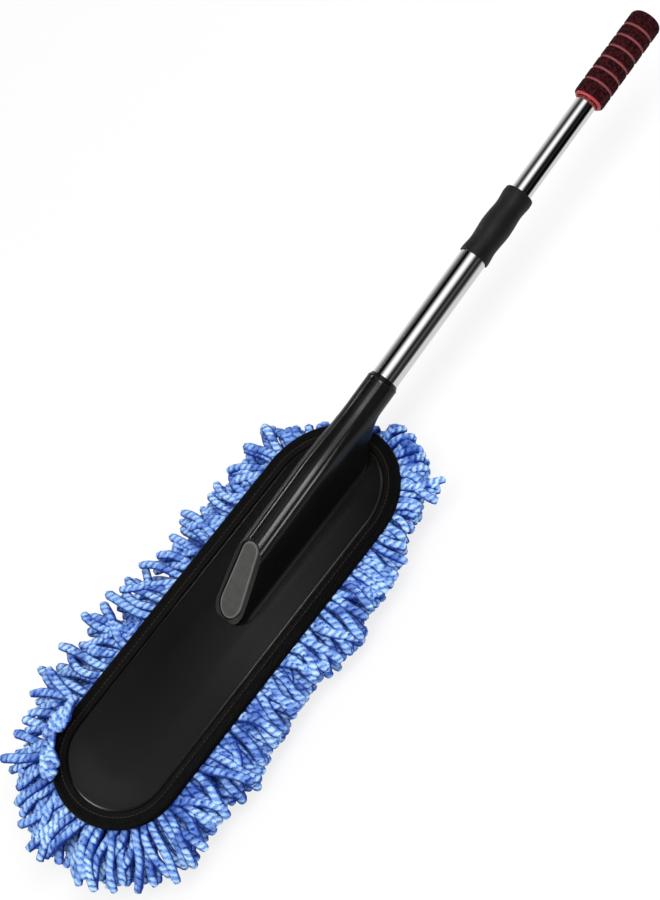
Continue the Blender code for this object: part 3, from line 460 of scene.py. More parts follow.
def ridge_rings(stations):
    """One closed section across the axis for each u, as (u, y, w) points.

    Upper points move out to the round socket as u nears the mouth: their distance from the axis goes over to
    the socket's radius. Lower points stand on the deck, and past the heel they close up into the socket's
    underside.
    """
    u = np.asarray(stations, float)[:, None, None]
    x = AXIS_X + u * math.cos(RISE)
    upper = np.array(CREST_LINE + SHOULDER_LINE + FLANK_LINE)[None]
    reach = np.linalg.norm(upper, axis=-1, keepdims=True)
    upper = upper * (1.0 + (SOCKET_RADIUS / reach - 1.0) * ease(u / SOCKET_END, 0.5, 0.84))
    drop = axis_height(x) - DECK - CROWN
    flare = np.array(FLARE + [(0.016, -0.003)])[None]
    lower = joined(flare[..., :1], flare[..., 1:] - drop)
    lift = ease(x, LIFT_START - 0.01, LIFT_START + 0.034)
    start = np.arctan2(upper[:, -1:, 1:], upper[:, -1:, :1])
    under = start + (-math.pi / 2 + 0.08 - start) * np.arange(1, 7)[None, :, None] / 6.0
    rounded = SOCKET_RADIUS * joined(np.cos(under), np.sin(under))
    half = np.concatenate([upper, lower + (rounded - lower) * lift], axis=1)
    half = np.stack([corners_cut(line, 2) for line in half])
    front = np.clip((x - RIDGE_FRONT) / NOSE_LONG, 0.0, 1.0)
    slim = 0.45 + 0.55 * np.sqrt(1.0 - (1.0 - front) ** 2)
    half = half * joined(slim, np.ones_like(front))
    both = np.concatenate([half, (half * [-1.0, 1.0])[:, ::-1][:, :-1]], axis=1)
    return joined(u, both)


ridge_front = (RIDGE_FRONT - AXIS_X) / math.cos(RISE)
nose = ridge_front + NOSE_LONG * np.linspace(0.0, 1.0, 14) ** 1.6
body = np.linspace(nose[-1], SOCKET_END - 0.0034, 90)[1:]
lip = SOCKET_END + np.array([-0.003, -0.0027, -0.0012, -0.0003, 0.0])
ridge_line = ridge_rings(np.concatenate([nose, body, lip]))
ridge_line[-5:, :, 1:] *= np.array([1.015, 1.005, 0.93, 0.912, 0.9])[:, None, None]
ridge_points, ridge_faces = capped(from_handle(ridge_line))
ridge = piece("paddle_ridge", ridge_points, ridge_faces, moulded, "head", "shell_black")


# %% [markdown]
# ## Cutting the slanted face, the insert's pocket and the tube's bore
# These cuts meet the curved ridge along lines that no simple formula gives, so they are Boolean cuts, worked
# out once and kept as plain mesh.

# %% Slanted face
face_low = np.array([ridge_front, -(axis_height(RIDGE_FRONT) - DECK - CROWN - 0.001)])
face_top = np.array([(FACE_TOP - AXIS_X) / math.cos(RISE), CREST])
FACE_LONG = float(np.linalg.norm(face_top - face_low))
face_up = (face_top - face_low) / FACE_LONG
face_out = np.array([-face_up[1], face_up[0]])


def from_face(points):
    """Turns (along, across, out) points of the slanted face's own frame into places of the scene."""
    along, across, out = np.moveaxis(np.asarray(points, float), -1, 0)
    middle = (face_low + face_top) / 2
    u = middle[0] + along * face_up[0] + out * face_out[0]
    w = middle[1] + along * face_up[1] + out * face_out[1]
    return from_handle(np.stack([u, across, w], axis=-1))


def insert_ring(margin, out):
    """Outline of the insert at one height over the face: a low round arch above, a wider round foot below."""
    top = FACE_LONG / 2 - 0.0015 + margin
    head = half_ellipse(top - 0.008 - margin, 0.008 + margin, 0.0079 + margin, 25)
    deep = 0.0135 + margin
    flat = np.vstack([head, half_ellipse(deep - top, -deep, -(0.01075 + margin), 25)])
    return np.column_stack([flat, np.full(len(flat), out)])


# %% The three cuts
def cut(thing, points, faces):
    """Cuts a closed form out of a piece and keeps the result as its mesh."""
    mesh = new_mesh("cut_form", points, faces)
    face_outwards(mesh)
    form = add_object("cut_form", mesh)
    step = thing.modifiers.new("cut", "BOOLEAN")
    step.operation, step.solver, step.object = "DIFFERENCE", "EXACT", form
    bpy.context.view_layer.update()
    seen = thing.evaluated_get(bpy.context.evaluated_depsgraph_get())
    result = bpy.data.meshes.new_from_object(seen)
    thing.modifiers.clear()
    thing.data = result
    result.shade_smooth()
    result.set_sharp_from_angle(angle=math.radians(30.0))
    bpy.data.objects.remove(form)
    print("cut", thing.name, "down to", len(result.vertices), "points")


corners = ((-0.036, -0.05), (0.08, -0.05), (0.08, 0.05), (-0.036, 0.05))
block = [[(*corner, out) for corner in corners] for out in (0.0, 0.06)]
cut(ridge, *capped(from_face(block)))
pocket = np.stack([insert_ring(0.0009, out) for out in (-0.0019, 0.002)])
cut(ridge, *capped(from_face(pocket)))
bore = joined(np.array([0.03, SOCKET_END + 0.002])[:, None, None], SOCKET_BORE * circle(96))
cut(ridge, *capped(from_handle(bore)))
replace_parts(deck, "paddle_shell")
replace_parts(ridge, "paddle_shell")

# %% [markdown]
# ## The grey insert
# A textured plate is let into the slanted face. Its rounded rim is a little lighter: partly wear, where it is
# rubbed smooth, and partly a painted highlight, where it turns towards the light. Rings near the edge give
# that rounding, and carry a mark that says where the rim is.

# %% Insert
insert_sections = [(-0.0004, -0.0016), (-0.0004, -0.0002), (-0.0005, 0.0001), (-0.0008, 0.0003),
                   (-0.0014, 0.00035), (-0.0022, 0.0002)]
insert_rings = np.stack([from_face(insert_ring(margin, out)) for margin, out in insert_sections])
rim_mark = np.repeat([1.0, 1.0, 1.0, 1.0, 0.8, 0.0], insert_rings.shape[1])
insert = piece("slanted_insert", *capped(insert_rings), textured, "head", "insert_grey",
               marks={"rim": rim_mark})
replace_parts(insert, "end_insert")

# %% [markdown]
# ## Turned parts of the handle
# Tubes, collar, grip and cap are turned about the handle's axis: a profile of (u, radius) points, carried
# once round. Ninety-six sides keep the bright tubes free of facets.

# %% Turning a profile
SIDES = 96


def turned(name, profile, finish, body, slot, hollow=True, marks=None, sharp=35.0):
    """Carries a profile round the axis: each point becomes a circle of its radius at its u."""
    u, radius = np.asarray(profile, float).T
    points = from_handle(joined(u[:, None, None], circle(SIDES) * radius[:, None, None]))
    shape = (points, tube_faces(len(u), SIDES, loop=True)) if hollow else capped(points)
    every = {mark: np.repeat(values, SIDES) for mark, values in (marks or {}).items()}
    return piece(name, *shape, finish, body, slot, marks=every, sharp=sharp)


# %% [markdown]
# ## Bright plated tubes
# Chrome has hardly any colour of its own. It is a very smooth, fully metallic surface, broken by fine lines
# along the tube from drawing it, which are a noise stretched along X.

# %% Bright tubes
chrome = Finish("tube_chrome_finish", (0.78, 0.78, 0.79), 0.06, 1.0)
drawn = chrome.noise(0.0006, 3.0, stretch=(0.03, 1.0, 1.0))
film = chrome.noise(0.03, 3.0)
chrome.feed("Roughness", 0.035 + 0.05 * drawn + 0.05 * film)
chrome.tint(film, (0.74, 0.74, 0.755), (0.82, 0.82, 0.825))
chrome.bump(drawn, 0.000004, 0.3)

lower_start, lower_end = 0.0303, SKIRT_START + 0.007
lower_profile = [
    (lower_start, 0.0107), (lower_start + 0.0003, 0.011), (lower_end - 0.0003, 0.011), (lower_end, 0.0107),
    (lower_end, 0.0102), (lower_end - 0.0002, 0.01), (lower_start + 0.0002, 0.01), (lower_start, 0.0102),
]
lower_tube = turned("lower_bright_tube", lower_profile, chrome, "head", "tube_chrome")
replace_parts(lower_tube, "lower_tube")
upper_start, upper_end = SOCKET_END - 0.045, CAP_START - GAP
bead = upper_start + 0.0126
upper_profile = [
    (upper_start, 0.0083), (upper_start + 0.0003, 0.0085), (bead, 0.0085), (bead + 0.0007, 0.0092),
    (bead + 0.0013, 0.0092), (bead + 0.002, 0.0085), (upper_end - 0.0003, 0.0085), (upper_end, 0.0083),
    (upper_end, 0.0077), (upper_start, 0.0077),
]
upper_tube = turned("upper_bright_tube", upper_profile, chrome, "upper_handle", "tube_chrome")
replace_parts(upper_tube, "upper_tube")

# %% [markdown]
# ## The lock collar
# The collar has a thin flared skirt over the lower tube, a waist, a swelling body for the hand and a short
# head. Its profile is a few points rounded by corner cutting, so the light runs over it without a break. It
# is a coarser black than the paddle, because hands rub it.

# %% Collar's finish
hand_worn = Finish("collar_black_finish", (0.005, 0.005, 0.005), 0.55, specular=0.29)
coarse = hand_worn.noise(0.0007, 3.0)
rubbed = hand_worn.noise(0.009, 2.0)
hand_worn.feed("Roughness", 0.56 - 0.16 * rubbed + 0.08 * coarse)
hand_worn.tint(rubbed, (0.0035, 0.0035, 0.0038), (0.009, 0.009, 0.0094))
hand_worn.bump(coarse, 0.00005, 0.6)

# %% Lock collar
long = COLLAR_END - SKIRT_START
swell = [(0.0, 0.0123), (0.03, 0.01235), (0.09, 0.012), (0.19, 0.0112), (0.31, 0.0117), (0.46, 0.0125),
         (0.61, 0.012), (0.74, 0.0112), (0.83, 0.0116), (0.9, 0.0122), (0.955, 0.0122), (0.995, 0.0118),
         (1.0, 0.0108)]
collar_outer = corners_cut([(SKIRT_START + long * share, radius) for share, radius in swell], 2)
collar_inner = [(COLLAR_END, 0.0091), (COLLAR_END - 0.0004, 0.0088), (COLLAR_END - 0.004, 0.0088),
                (COLLAR_END - 0.009, 0.01), (lower_end + 0.0026, 0.01), (lower_end + 0.0026, 0.0115),
                (SKIRT_START, 0.0115)]
collar_line = np.vstack([collar_outer, collar_inner])
collar = turned("twist_collar", collar_line, hand_worn, "collar", "shell_black")
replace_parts(collar, "lock_collar")

# %% [markdown]
# ## The foam grip
# The grip is a dark foam sleeve over a red core. The core's rim shows at the front, and red shows faintly in
# six narrow grooves. Their depth is stored on the sleeve's points, so the material knows where to turn red.
# Foam has fine pores, which are relief here, and wider patches where its dark red shows.

# %% Foam finishes
sleeve_foam = Finish("grip_black_finish", (0.018, 0.005, 0.006), 0.75, specular=0.07)
pores = sleeve_foam.noise(0.0006, 4.0)
patches = sleeve_foam.noise(0.0024, 3.0)
deep = sleeve_foam.mark("groove")
dark_foam = sleeve_foam.colours(patches.between(0.35, 0.65), (0.008, 0.0015, 0.002), (0.044, 0.006, 0.008))
sleeve_foam.tint(deep.between(0.1, 1.0), dark_foam, (0.25, 0.068, 0.075))
sleeve_foam.feed("Roughness", 0.62 + 0.25 * pores)
sleeve_foam.bump(pores, 0.00015, 0.8)

core_foam = Finish("grip_red_finish", (0.62, 0.05, 0.05), 0.6)
fine = core_foam.noise(0.0008, 3.0)
core_foam.tint(fine, (0.36, 0.018, 0.022), (0.56, 0.075, 0.075))
core_foam.feed("Roughness", 0.5 + 0.2 * fine)
core_foam.bump(fine, 0.0001, 0.7)

# %% Grip core, sleeve and butt cap
core_profile = corners_cut([
    (CAP_START - GAP, 0.0088), (GRIP_START + 0.004, 0.0088), (GRIP_START, 0.0088),
    (GRIP_START - 0.0009, 0.009), (GRIP_START - 0.0013, 0.0102), (GRIP_START - 0.0009, 0.0115),
    (GRIP_START + 0.0008, 0.0118), (GRIP_START + 0.004, 0.0115), (CAP_START - GAP, 0.0115)], 3)
core = turned("red_grip_core", core_profile, core_foam, "upper_handle", "grip_red")
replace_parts(core, "grip_core")

GRIP_RADIUS = 0.0131
GROOVES = 6
groove_at = np.linspace(GRIP_START + 0.013, CAP_START - 0.0085, GROOVES)
groove_u = np.array([-0.0018, -0.0013, -0.0007, 0.0, 0.0007, 0.0013, 0.0018])
groove_in = np.array([0.0, 0.0002, 0.0008, 0.0011, 0.0008, 0.0002, 0.0])
sleeve_u = (groove_at[:, None] + groove_u).ravel()
sleeve_in = np.tile(groove_in, GROOVES)
sleeve_front = corners_cut([
    (GRIP_START + 0.002, 0.0119), (GRIP_START + 0.0006, 0.0121), (GRIP_START + 0.0004, GRIP_RADIUS - 0.0003),
    (GRIP_START + 0.0028, GRIP_RADIUS)], 2)
sleeve_line = np.vstack([sleeve_front, np.column_stack([sleeve_u, GRIP_RADIUS - sleeve_in]),
                         [(CAP_START - GAP, GRIP_RADIUS), (CAP_START - GAP, 0.0119)]])
sleeve_deep = np.concatenate([np.zeros(len(sleeve_front)), sleeve_in / groove_in.max(), np.zeros(2)])
sleeve = turned("grooved_grip_sleeve", sleeve_line, sleeve_foam, "upper_handle", "grip_black",
                marks={"groove": sleeve_deep}, sharp=50.0)
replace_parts(sleeve, "grip_sleeve")

dome, round_by = np.linspace(0.0, math.pi / 2, 12), 0.005
cap_stem = [(CAP_START - 0.016, 0.007), (CAP_START - 0.0155, 0.0073), (CAP_START, 0.0073), (CAP_START, 0.013)]
cap_dome = np.column_stack([GRIP_END - round_by + round_by * np.sin(dome),
                            GRIP_RADIUS - round_by + round_by * np.cos(dome)])
cap_line = np.vstack([cap_stem, cap_dome, [(GRIP_END, 0.0055), (GRIP_END - 0.0001, 0.002)]])
butt = turned("domed_butt_cap", cap_line, sleeve_foam, "upper_handle", "grip_black", hollow=False,
              marks={"groove": np.zeros(len(cap_line))})
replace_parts(butt, "butt_cap")

# %% [markdown]
# ## The foam pad
# Between the base plate and the cover lies a foam pad. It is hidden, but a padded brush without its pad would
# be hollow. Its edge swells: the offset follows a half circle over its height.

# %% Foam pad
pad_foam = Finish("pad_foam_finish", (0.25, 0.25, 0.27), 0.9)
cells = pad_foam.noise(0.0012, 4.0)
pad_foam.tint(cells, (0.17, 0.17, 0.19), (0.33, 0.33, 0.35))
pad_foam.bump(cells, 0.0003, 0.8)
PAD_LOW, PAD_HIGH = COVER_LOW + COVER_THICK + GAP, SKIRT_LOW - GAP
pad_edge = half_ellipse(-0.004, 0.003, (PAD_HIGH - PAD_LOW) / 2, 13) + [0.0, (PAD_LOW + PAD_HIGH) / 2]
pad_rings = rim_rings(np.vstack([[(-0.02, PAD_LOW)], pad_edge, [(-0.02, PAD_HIGH)]]))
pad = piece("foam_cushion", *capped(pad_rings), pad_foam, "head", "pad_foam", sharp=60.0)
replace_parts(pad, "foam_pad")

# %% [markdown]
# ## The fringe: one twisted cord
# The cover is fringed with microfibre cords of two plies twisted together. Real plies would need thousands of
# faces a cord, and there are about a thousand cords. So a cord is a six-sided tube, and its twist is in the
# material: the cord's map runs once round it, and along it in turns of the lay, and the plies are stripes of
# two u minus v. They are relief, and painted dark where they meet, as shade in the valleys between plies.
# Light and shade are painted on each cord too: its top lighter and its sides darker, its root darker where
# the other cords shade it, slow patches darker, and a painted highlight on the ply crests at its top.

# %% Microfibre finish
sheen = {"Sheen Weight": 0.3, "Sheen Roughness": 0.4, "Sheen Tint": (0.25, 0.5, 1.0, 1.0)}
cord = Finish("strand_blue_finish", (0.13, 0.3, 0.9), 0.85, specular=0.1, sheen=sheen)
around, along = cord.own_map()
# Painted light: each cord's top is lighter and its sides and underside darker, as light falls from above.
top = (around - 0.25).wave()
fuzz = cord.noise(0.001, 3.0)
blot = cord.noise(0.003, 2.0)
ply = (around * 2.0 - along + blot * 0.9).wave()
tone = cord.mark("tone")
# Painted shade at the roots, stored on the points: 1 in the open, less where other cords shade the root.
unshaded_share = cord.mark("unshaded_share")
# Painted shade in slow patches over the fringe, for the shade between clumps of cords.
shady = cord.noise(0.013, 1.0).between(0.36, 0.56)
# Painted shade in the valleys where the two plies meet.
ply_shade = 0.3 + 0.7 * (ply + 0.45 * blot.between(0.3, 0.6)).between(0.06, 0.62)
lit = ply_shade * (0.02 + 0.98 * top.between(0.46, 1.0)) * unshaded_share
lit = lit * (0.7 + 0.6 * fuzz) * (0.45 + 0.55 * shady)
# Painted highlight on the ply crests at each cord's top.
glint = (0.22 + 0.78 * ply.between(0.05, 0.8)) * top.between(0.5, 1.0)
high = glint * unshaded_share * (0.56 + 0.5 * tone) * (0.48 + 0.52 * shady)
fair_blue = cord.colours(high, (0.098, 0.255, 0.82), (0.58, 0.83, 1.0))
cord.tint(lit.between(0.03, 0.72), (0.003, 0.026, 0.29), fair_blue)
cord.feed("Roughness", 0.75 + 0.2 * fuzz)
cord.bump(ply.between(0.0, 0.9) * 0.75 + fuzz * 0.25, 0.0012, 0.9)

# %% Many cords at once
CORD_SIDES = 6
CORD_RADIUS = 0.0035
CORD_REST = 0.0042
LAY = 0.005
CORD_SHARE = np.array([0.0, 0.13, 0.27, 0.41, 0.55, 0.69, 0.82, 0.93, 0.985, 1.0])
TIP = np.array([0.8, 0.95, 1.0, 1.0, 1.0, 1.02, 1.04, 1.0, 0.8, 0.4])
CORD_RINGS = len(CORD_SHARE)


def cord_paths(root, heading, curl, rise, droop, length):
    """Centre points of many cords, from angles that change with the share s of the length.

    The compass angle is heading + curl s + 0.25 sin(5 s + phase), with any phase, the climb goes from rise to
    droop, and each step of the path follows them. A point that would sink into the floor stays at the height
    of its rest.
    """
    laws = (np.broadcast_to(law, len(root))[:, None] for law in (heading, curl, rise, droop, length))
    heading, curl, rise, droop, length = laws
    phase = draw.uniform(0.0, math.tau, (len(root), 1))
    compass = heading + curl * CORD_SHARE + 0.25 * np.sin(5.0 * CORD_SHARE + phase)
    climb = rise + (droop - rise) * CORD_SHARE ** 1.2
    flat = np.cos(climb)
    ahead = np.stack([np.cos(compass) * flat, np.sin(compass) * flat, np.sin(climb)], axis=-1)
    step = (ahead[:, 1:] + ahead[:, :-1]) / 2 * np.diff(CORD_SHARE)[:, None] * length[..., None]
    path = root[:, None] + np.concatenate([np.zeros_like(step[:, :1]), np.cumsum(step, axis=1)], axis=1)
    path[..., 2] = np.maximum(path[..., 2], CORD_REST)
    return path


def cord_rings(path, thick, up):
    """Six points round each centre, square to the path: cosine along its side, sine along its top."""
    run = unit(np.gradient(path, axis=1))
    side = unit(np.cross(run, up))
    over = np.cross(side, run)
    uneven = draw.uniform(0.91, 1.09, (len(path), CORD_RINGS, CORD_SIDES, 1))
    radius = CORD_RADIUS * TIP[:, None, None] * thick[:, None, None, None] * uneven
    cosine, sine = circle(CORD_SIDES).T[..., None]
    return path[:, :, None] + radius * (cosine * side[:, :, None] + sine * over[:, :, None])


def cord_piece(name, path, up, root_shade, nodes):
    """One piece of many cords, each with its own stretch of the map and its own tone.

    A cord with root shade is painted dark from its root up, where shade falls, and comes into the light along
    its length.
    """
    count = len(path)
    thick, tones = draw.uniform(0.9, 1.12, count), draw.uniform(0.0, 1.0, count)
    points = cord_rings(path, thick, up)
    turns = np.linalg.norm(np.diff(path, axis=1), axis=-1).sum(axis=1) / LAY
    shift = tones * 7.3
    u, v = np.moveaxis(tube_uv(np.linspace(0.0, 1.0, CORD_SIDES + 1), CORD_SHARE), -1, 0)
    v = v * turns[:, None, None] + shift[:, None, None]
    wall_uv = joined(u[..., None], v[..., None])
    cap_uv = np.repeat(np.stack([np.full(count, 0.25), shift + 0.5], axis=-1), 2 * CORD_SIDES, axis=0)
    free = 1.0 - root_shade[:, None] * (1.0 - CORD_SHARE) ** 0.8
    marks = {"tone": np.repeat(tones, CORD_RINGS * CORD_SIDES),
             "unshaded_share": np.repeat(free.ravel(), CORD_SIDES)}
    made = piece(name, points, closed_tubes(count, CORD_RINGS, CORD_SIDES), cord, "head", "strand_blue",
                 uv=np.vstack([wall_uv.reshape(-1, 2), cap_uv]), marks=marks, sharp=75.0)
    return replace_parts(made, *nodes)


# %% [markdown]
# ## The fringe round the sides
# Cords stand in five rows up the cover's side wall. They leave it nearly level and then droop. They are long
# round the toe and short at the heel under the handle. Neighbours lean the same way, so the fringe falls in
# clumps: the lean is a slow wave along the rim with a small random part. One cord in eleven curls off on its
# own.

# %% Side cords
draw = np.random.default_rng(20)
ROW_HEIGHTS = [0.0265, 0.0315, 0.0365, 0.041, 0.0448]
PER_ROW = 132
FINE = 8
FINE_STEPS = PER_ROW * FINE
ROOT_OUT = 0.0012
side_points, side_normals, _ = outline(FINE_STEPS)


def by_side(facing, far, near, toe, heel):
    """Mixes four values by where the rim faces, each by the square of the normal's part on its side."""
    along, across = facing[:, 0], facing[:, 1]
    ends = np.where(along < 0.0, toe, heel) * along ** 2
    return ends + np.where(across > 0.0, far, near) * across ** 2


REACH = np.array([
    (0.0, 52), (0.05, 52), (0.085, 52), (0.11, 43), (0.15, 44), (0.2, 40), (0.24, 38), (0.275, 43),
    (0.31, 42), (0.36, 36), (0.385, 31), (0.4, 17), (0.425, 20), (0.46, 27), (0.5, 30), (0.54, 26),
    (0.57, 26), (0.6, 45), (0.625, 35), (0.66, 36), (0.7, 43), (0.73, 41), (0.76, 46), (0.8, 50),
    (0.84, 54), (0.875, 52), (0.9, 46), (0.93, 46), (0.95, 52), (1.0, 53)])


def side_lengths(share, facing):
    """Lengths of side cords, which are shorter yet where the handle hides them, and how hidden each is."""
    hidden = ease(facing[:, 0], 0.05, 0.6) * (facing[:, 1] > 0.0)
    return np.interp(share, REACH[:, 0], REACH[:, 1] / 1000.0) * (1.0 - 0.3 * hidden), hidden


CLUMPS = 52
clump_reach = draw.uniform(0.82, 1.08, CLUMPS)
clump_reach = np.append(clump_reach, clump_reach[0])
side_cords = []
for row, height in enumerate(ROW_HEIGHTS):
    pick = (np.arange(PER_ROW) * FINE + row * 3 + draw.integers(-1, 2, PER_ROW)) % FINE_STEPS
    spot, facing = side_points[pick], side_normals[pick]
    share = pick / FINE_STEPS
    level = row / (len(ROW_HEIGHTS) - 1)
    lean = 0.17 * np.sin(share * math.tau * 17.0 + row * 1.3)
    lean = lean + 0.15 * np.sin(share * math.tau * 31.0 + row * 2.1)
    lean = lean + draw.normal(0.0, 0.22 - 0.1 * level, PER_ROW)
    swept = 0.45 * ease(share, 0.64, 0.8) * (1.0 - ease(share, 0.93, 1.0))
    heading = np.arctan2(facing[:, 1], facing[:, 0]) + lean + swept
    stray = np.where(draw.random(PER_ROW) < 0.09, 1.2, 0.0) * draw.choice([-1, 1], PER_ROW)
    curl = np.clip(draw.normal(0.0, 0.45, PER_ROW) + stray + lean, -1.15, 1.15) - lean
    length, hidden = side_lengths(share, facing)
    length = length * np.interp(share * CLUMPS, np.arange(CLUMPS + 1), clump_reach)
    low_row = by_side(facing, 0.1, 0.3, 0.18, 0.1) * (1.0 - level)
    length = length * (1.0 - low_row) * draw.uniform(0.88, 1.09, PER_ROW)
    rise = by_side(facing, -8.0, -14.0, -8.0, -10.0) + 18.0 * level
    rise = np.radians(rise + draw.normal(0.0, 7.0, PER_ROW))
    droop = np.radians(by_side(facing, -8.0, -62.0, -42.0, -66.0) + draw.normal(0.0, 12.0, PER_ROW))
    droop = droop - np.radians(30.0) * hidden
    root = np.column_stack([spot + facing * ROOT_OUT, np.full(PER_ROW, height)])
    path = cord_paths(root, heading, curl, rise, droop, length)
    # Painted root shade, most in the lower rows and at the heel, where the cords above shade the roots.
    root_shade = np.clip(by_side(facing, 0.72, 0.8, 0.55, 1.05) - 0.55 * level, 0.0, 1.0)
    side_cords.append((share, path, root_shade))

# %% [markdown]
# A few cords lie over the binding at one side of the toe, as cords of a worn cover do, and a lock of longer
# ones stands out beside the socket.

# %% Stray cords
def rim_at(share):
    """Places and outward normals of the rim at shares of its length."""
    pick = (share * FINE_STEPS).astype(int)
    return side_points[pick], side_normals[pick]


STRAYS, LOCKED = 20, 7
over = draw.uniform(0.884, 0.946, STRAYS)
spot, facing = rim_at(over)
heading = np.arctan2(facing[:, 1], facing[:, 0]) + math.pi / 2 + draw.uniform(0.1, 0.5, STRAYS)
root = np.column_stack([spot + facing * 0.0085, np.full(STRAYS, 0.049)])
path = cord_paths(root, heading, draw.normal(0.0, 0.25, STRAYS), 0.9, -0.5, draw.uniform(0.02, 0.03, STRAYS))
rim = np.linalg.norm(path[..., :2] - spot[:, None], axis=-1)
binding_top = LEDGE + 0.002 + CORD_RADIUS * 0.9 * ease(rim, 0.009, 0.004)
path[..., 2] = np.maximum(path[..., 2], binding_top)
side_cords.append((over, path, np.zeros(STRAYS)))
lock = draw.uniform(0.44, 0.458, LOCKED)
spot, facing = rim_at(lock)
root = np.column_stack([spot + facing * ROOT_OUT, draw.uniform(0.04, 0.047, LOCKED)])
path = cord_paths(root, np.radians(draw.normal(-72.0, 7.0, LOCKED)), draw.normal(0.0, 0.4, LOCKED), 0.25,
                  np.radians(draw.uniform(-50.0, -10.0, LOCKED)), draw.uniform(0.031, 0.04, LOCKED))
side_cords.append((lock, path, np.zeros(LOCKED)))

# %% Pieces of the fringe
SIDE_SLICES = 8


def fringe(kind, slices, paths, up, root_shade):
    """One piece for each slice of the cover, from the number of the slice that each cord is in."""
    for number in range(slices.max() + 1):
        here = slices == number
        nodes = [f"{kind}_strands_{number + 1}"]
        cord_piece(f"{kind}_fringe_{number + 1}", paths[here], up, root_shade[here], nodes)
    print(kind, "cords:", len(paths))


all_share, all_path, all_root_shade = (np.concatenate(part) for part in zip(*side_cords))
fringe("side", (all_share * SIDE_SLICES).astype(int), all_path, (0.0, 0.0, 1.0), all_root_shade)

# %% [markdown]
# ## The fringe underneath
# The wash face is covered as densely as the sides. Its cords hang down and lie over at the floor, each in a
# direction of its own, as a soft pile does under the weight of the brush.

# %% Wash face cords
PITCH = 0.0088
WASH_SLICES = 5
columns, rows = np.meshgrid(np.arange(-20, 21), np.arange(-7, 8), indexing="ij")
grid = np.column_stack([columns.ravel() * PITCH, (rows + 0.5 * (columns % 2)).ravel() * PITCH])
dense_points, dense_normals, _ = outline(720)
nearest = np.argmin(np.linalg.norm(grid[:, None] - dense_points[None], axis=-1), axis=1)
inside = np.einsum("ij,ij->i", grid - dense_points[nearest], dense_normals[nearest]) < -0.0045
grid = grid[inside] + draw.uniform(-0.0012, 0.0012, (int(inside.sum()), 2))
count = len(grid)
root = np.column_stack([grid, np.full(count, COVER_LOW + 0.0015)])
paths = cord_paths(root, draw.uniform(0.0, math.tau, count), draw.normal(0.0, 0.8, count),
                   np.radians(draw.uniform(-90.0, -75.0, count)),
                   np.radians(draw.uniform(-50.0, -15.0, count)), draw.uniform(0.027, 0.032, count))
cuts = np.linspace(-PADDLE_LENGTH / 2, PADDLE_LENGTH / 2, WASH_SLICES + 1)
# Wash cords get half the painted root shade, for the shade under the paddle.
fringe("wash", np.digitize(grid[:, 0], cuts) - 1, paths, (1.0, 0.0, 0.0), np.full(count, 0.5))

# %% [markdown]
# ## The cover's backing and its binding
# The cords are sewn to a knitted backing that wraps the pad like a pan. A woven elastic binding holds it over
# the ledge of the shell. The backing is a thin closed form. The binding's profile is a rolled outer edge and
# a flat inner band, and its ribs are in the material.

# %% Backing and binding finishes
knit = Finish("cover_knit_finish", (0.05, 0.13, 0.55), 0.9, sheen={"Sheen Weight": 0.3})
loops = knit.noise(0.0012, 3.0)
knit.tint(loops, (0.02, 0.06, 0.34), (0.09, 0.2, 0.72))
knit.bump(loops, 0.0004, 0.8)

woven = Finish("binding_black_finish", (0.003, 0.003, 0.003), 0.8, specular=0.1)
across, round_rim = woven.own_map()
rib = (round_rim / 0.0011).wave()
yarn = woven.noise(0.0005, 3.0)
brown = across.between(0.46, 0.54) * (1.0 - across.between(0.6, 0.68))
ridged = woven.colours(brown, (0.004, 0.004, 0.004), (0.015, 0.012, 0.0075))
woven.tint(rib * yarn, (0.0012, 0.0012, 0.0012), ridged)
woven.feed("Roughness", 0.65 + 0.25 * yarn)
woven.bump(rib * 0.7 + yarn * 0.3, 0.00025, 0.8)

# %% Backing pan
pan_low = corners_cut([(-0.02, COVER_LOW), (0.0028, COVER_LOW), (0.0028, LEDGE - GAP)], 3)
pan_floor = COVER_LOW + COVER_THICK
pan_sections = np.vstack([pan_low, [(GAP, LEDGE - GAP), (GAP, pan_floor), (-0.02, pan_floor)]])
pan = piece("cover_backing", *capped(rim_rings(pan_sections)), knit, "head", "strand_blue", sharp=60.0)

# %% Elastic binding
roll = np.array([
    (0.0031, -0.0021), (0.0043, -0.0024), (0.0047, -0.0006), (0.0042, 0.0016), (0.002, 0.0021),
    (-0.0004, 0.0016), (-0.002, 0.0015), (-0.0045, 0.0017), (-0.0068, 0.0014), (-0.0081, 0.0012),
    (-0.0082, 0.0004), (-0.006, 0.0003), (0.0031, 0.0003)])
roll = corners_cut(roll + [0.0, LEDGE], 2, loop=True)
binding_rings = rim_rings(roll)
GATHERS, GATHER_HIGH = 144, 0.00018
gather = np.sin(np.arange(RIM_STEPS) * math.tau / RIM_STEPS * GATHERS) * GATHER_HIGH
binding_rings[..., 2] += gather[None] * (roll[:, 1] > LEDGE + 0.001)[:, None]
binding_rings[..., :2] += rim_normals[None] * (gather[None] * (roll[:, 0] > 0.003)[:, None])[..., None]
binding_points = np.swapaxes(binding_rings, 0, 1).reshape(-1, 3)
binding_uv = tube_uv(np.linspace(0.0, 1.0, len(roll) + 1), np.linspace(0.0, rim_length, RIM_STEPS + 1))
binding = piece("elastic_binding", binding_points, tube_faces(RIM_STEPS, len(roll), loop=True), woven,
                "head", "binding_black", uv=binding_uv, sharp=70.0)
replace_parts(binding, "edge_binding")

# %% [markdown]
# ## Stitches along the binding
# A row of lock stitches holds the binding. Each is a small spindle that lies on the band and sinks into it at
# both ends.

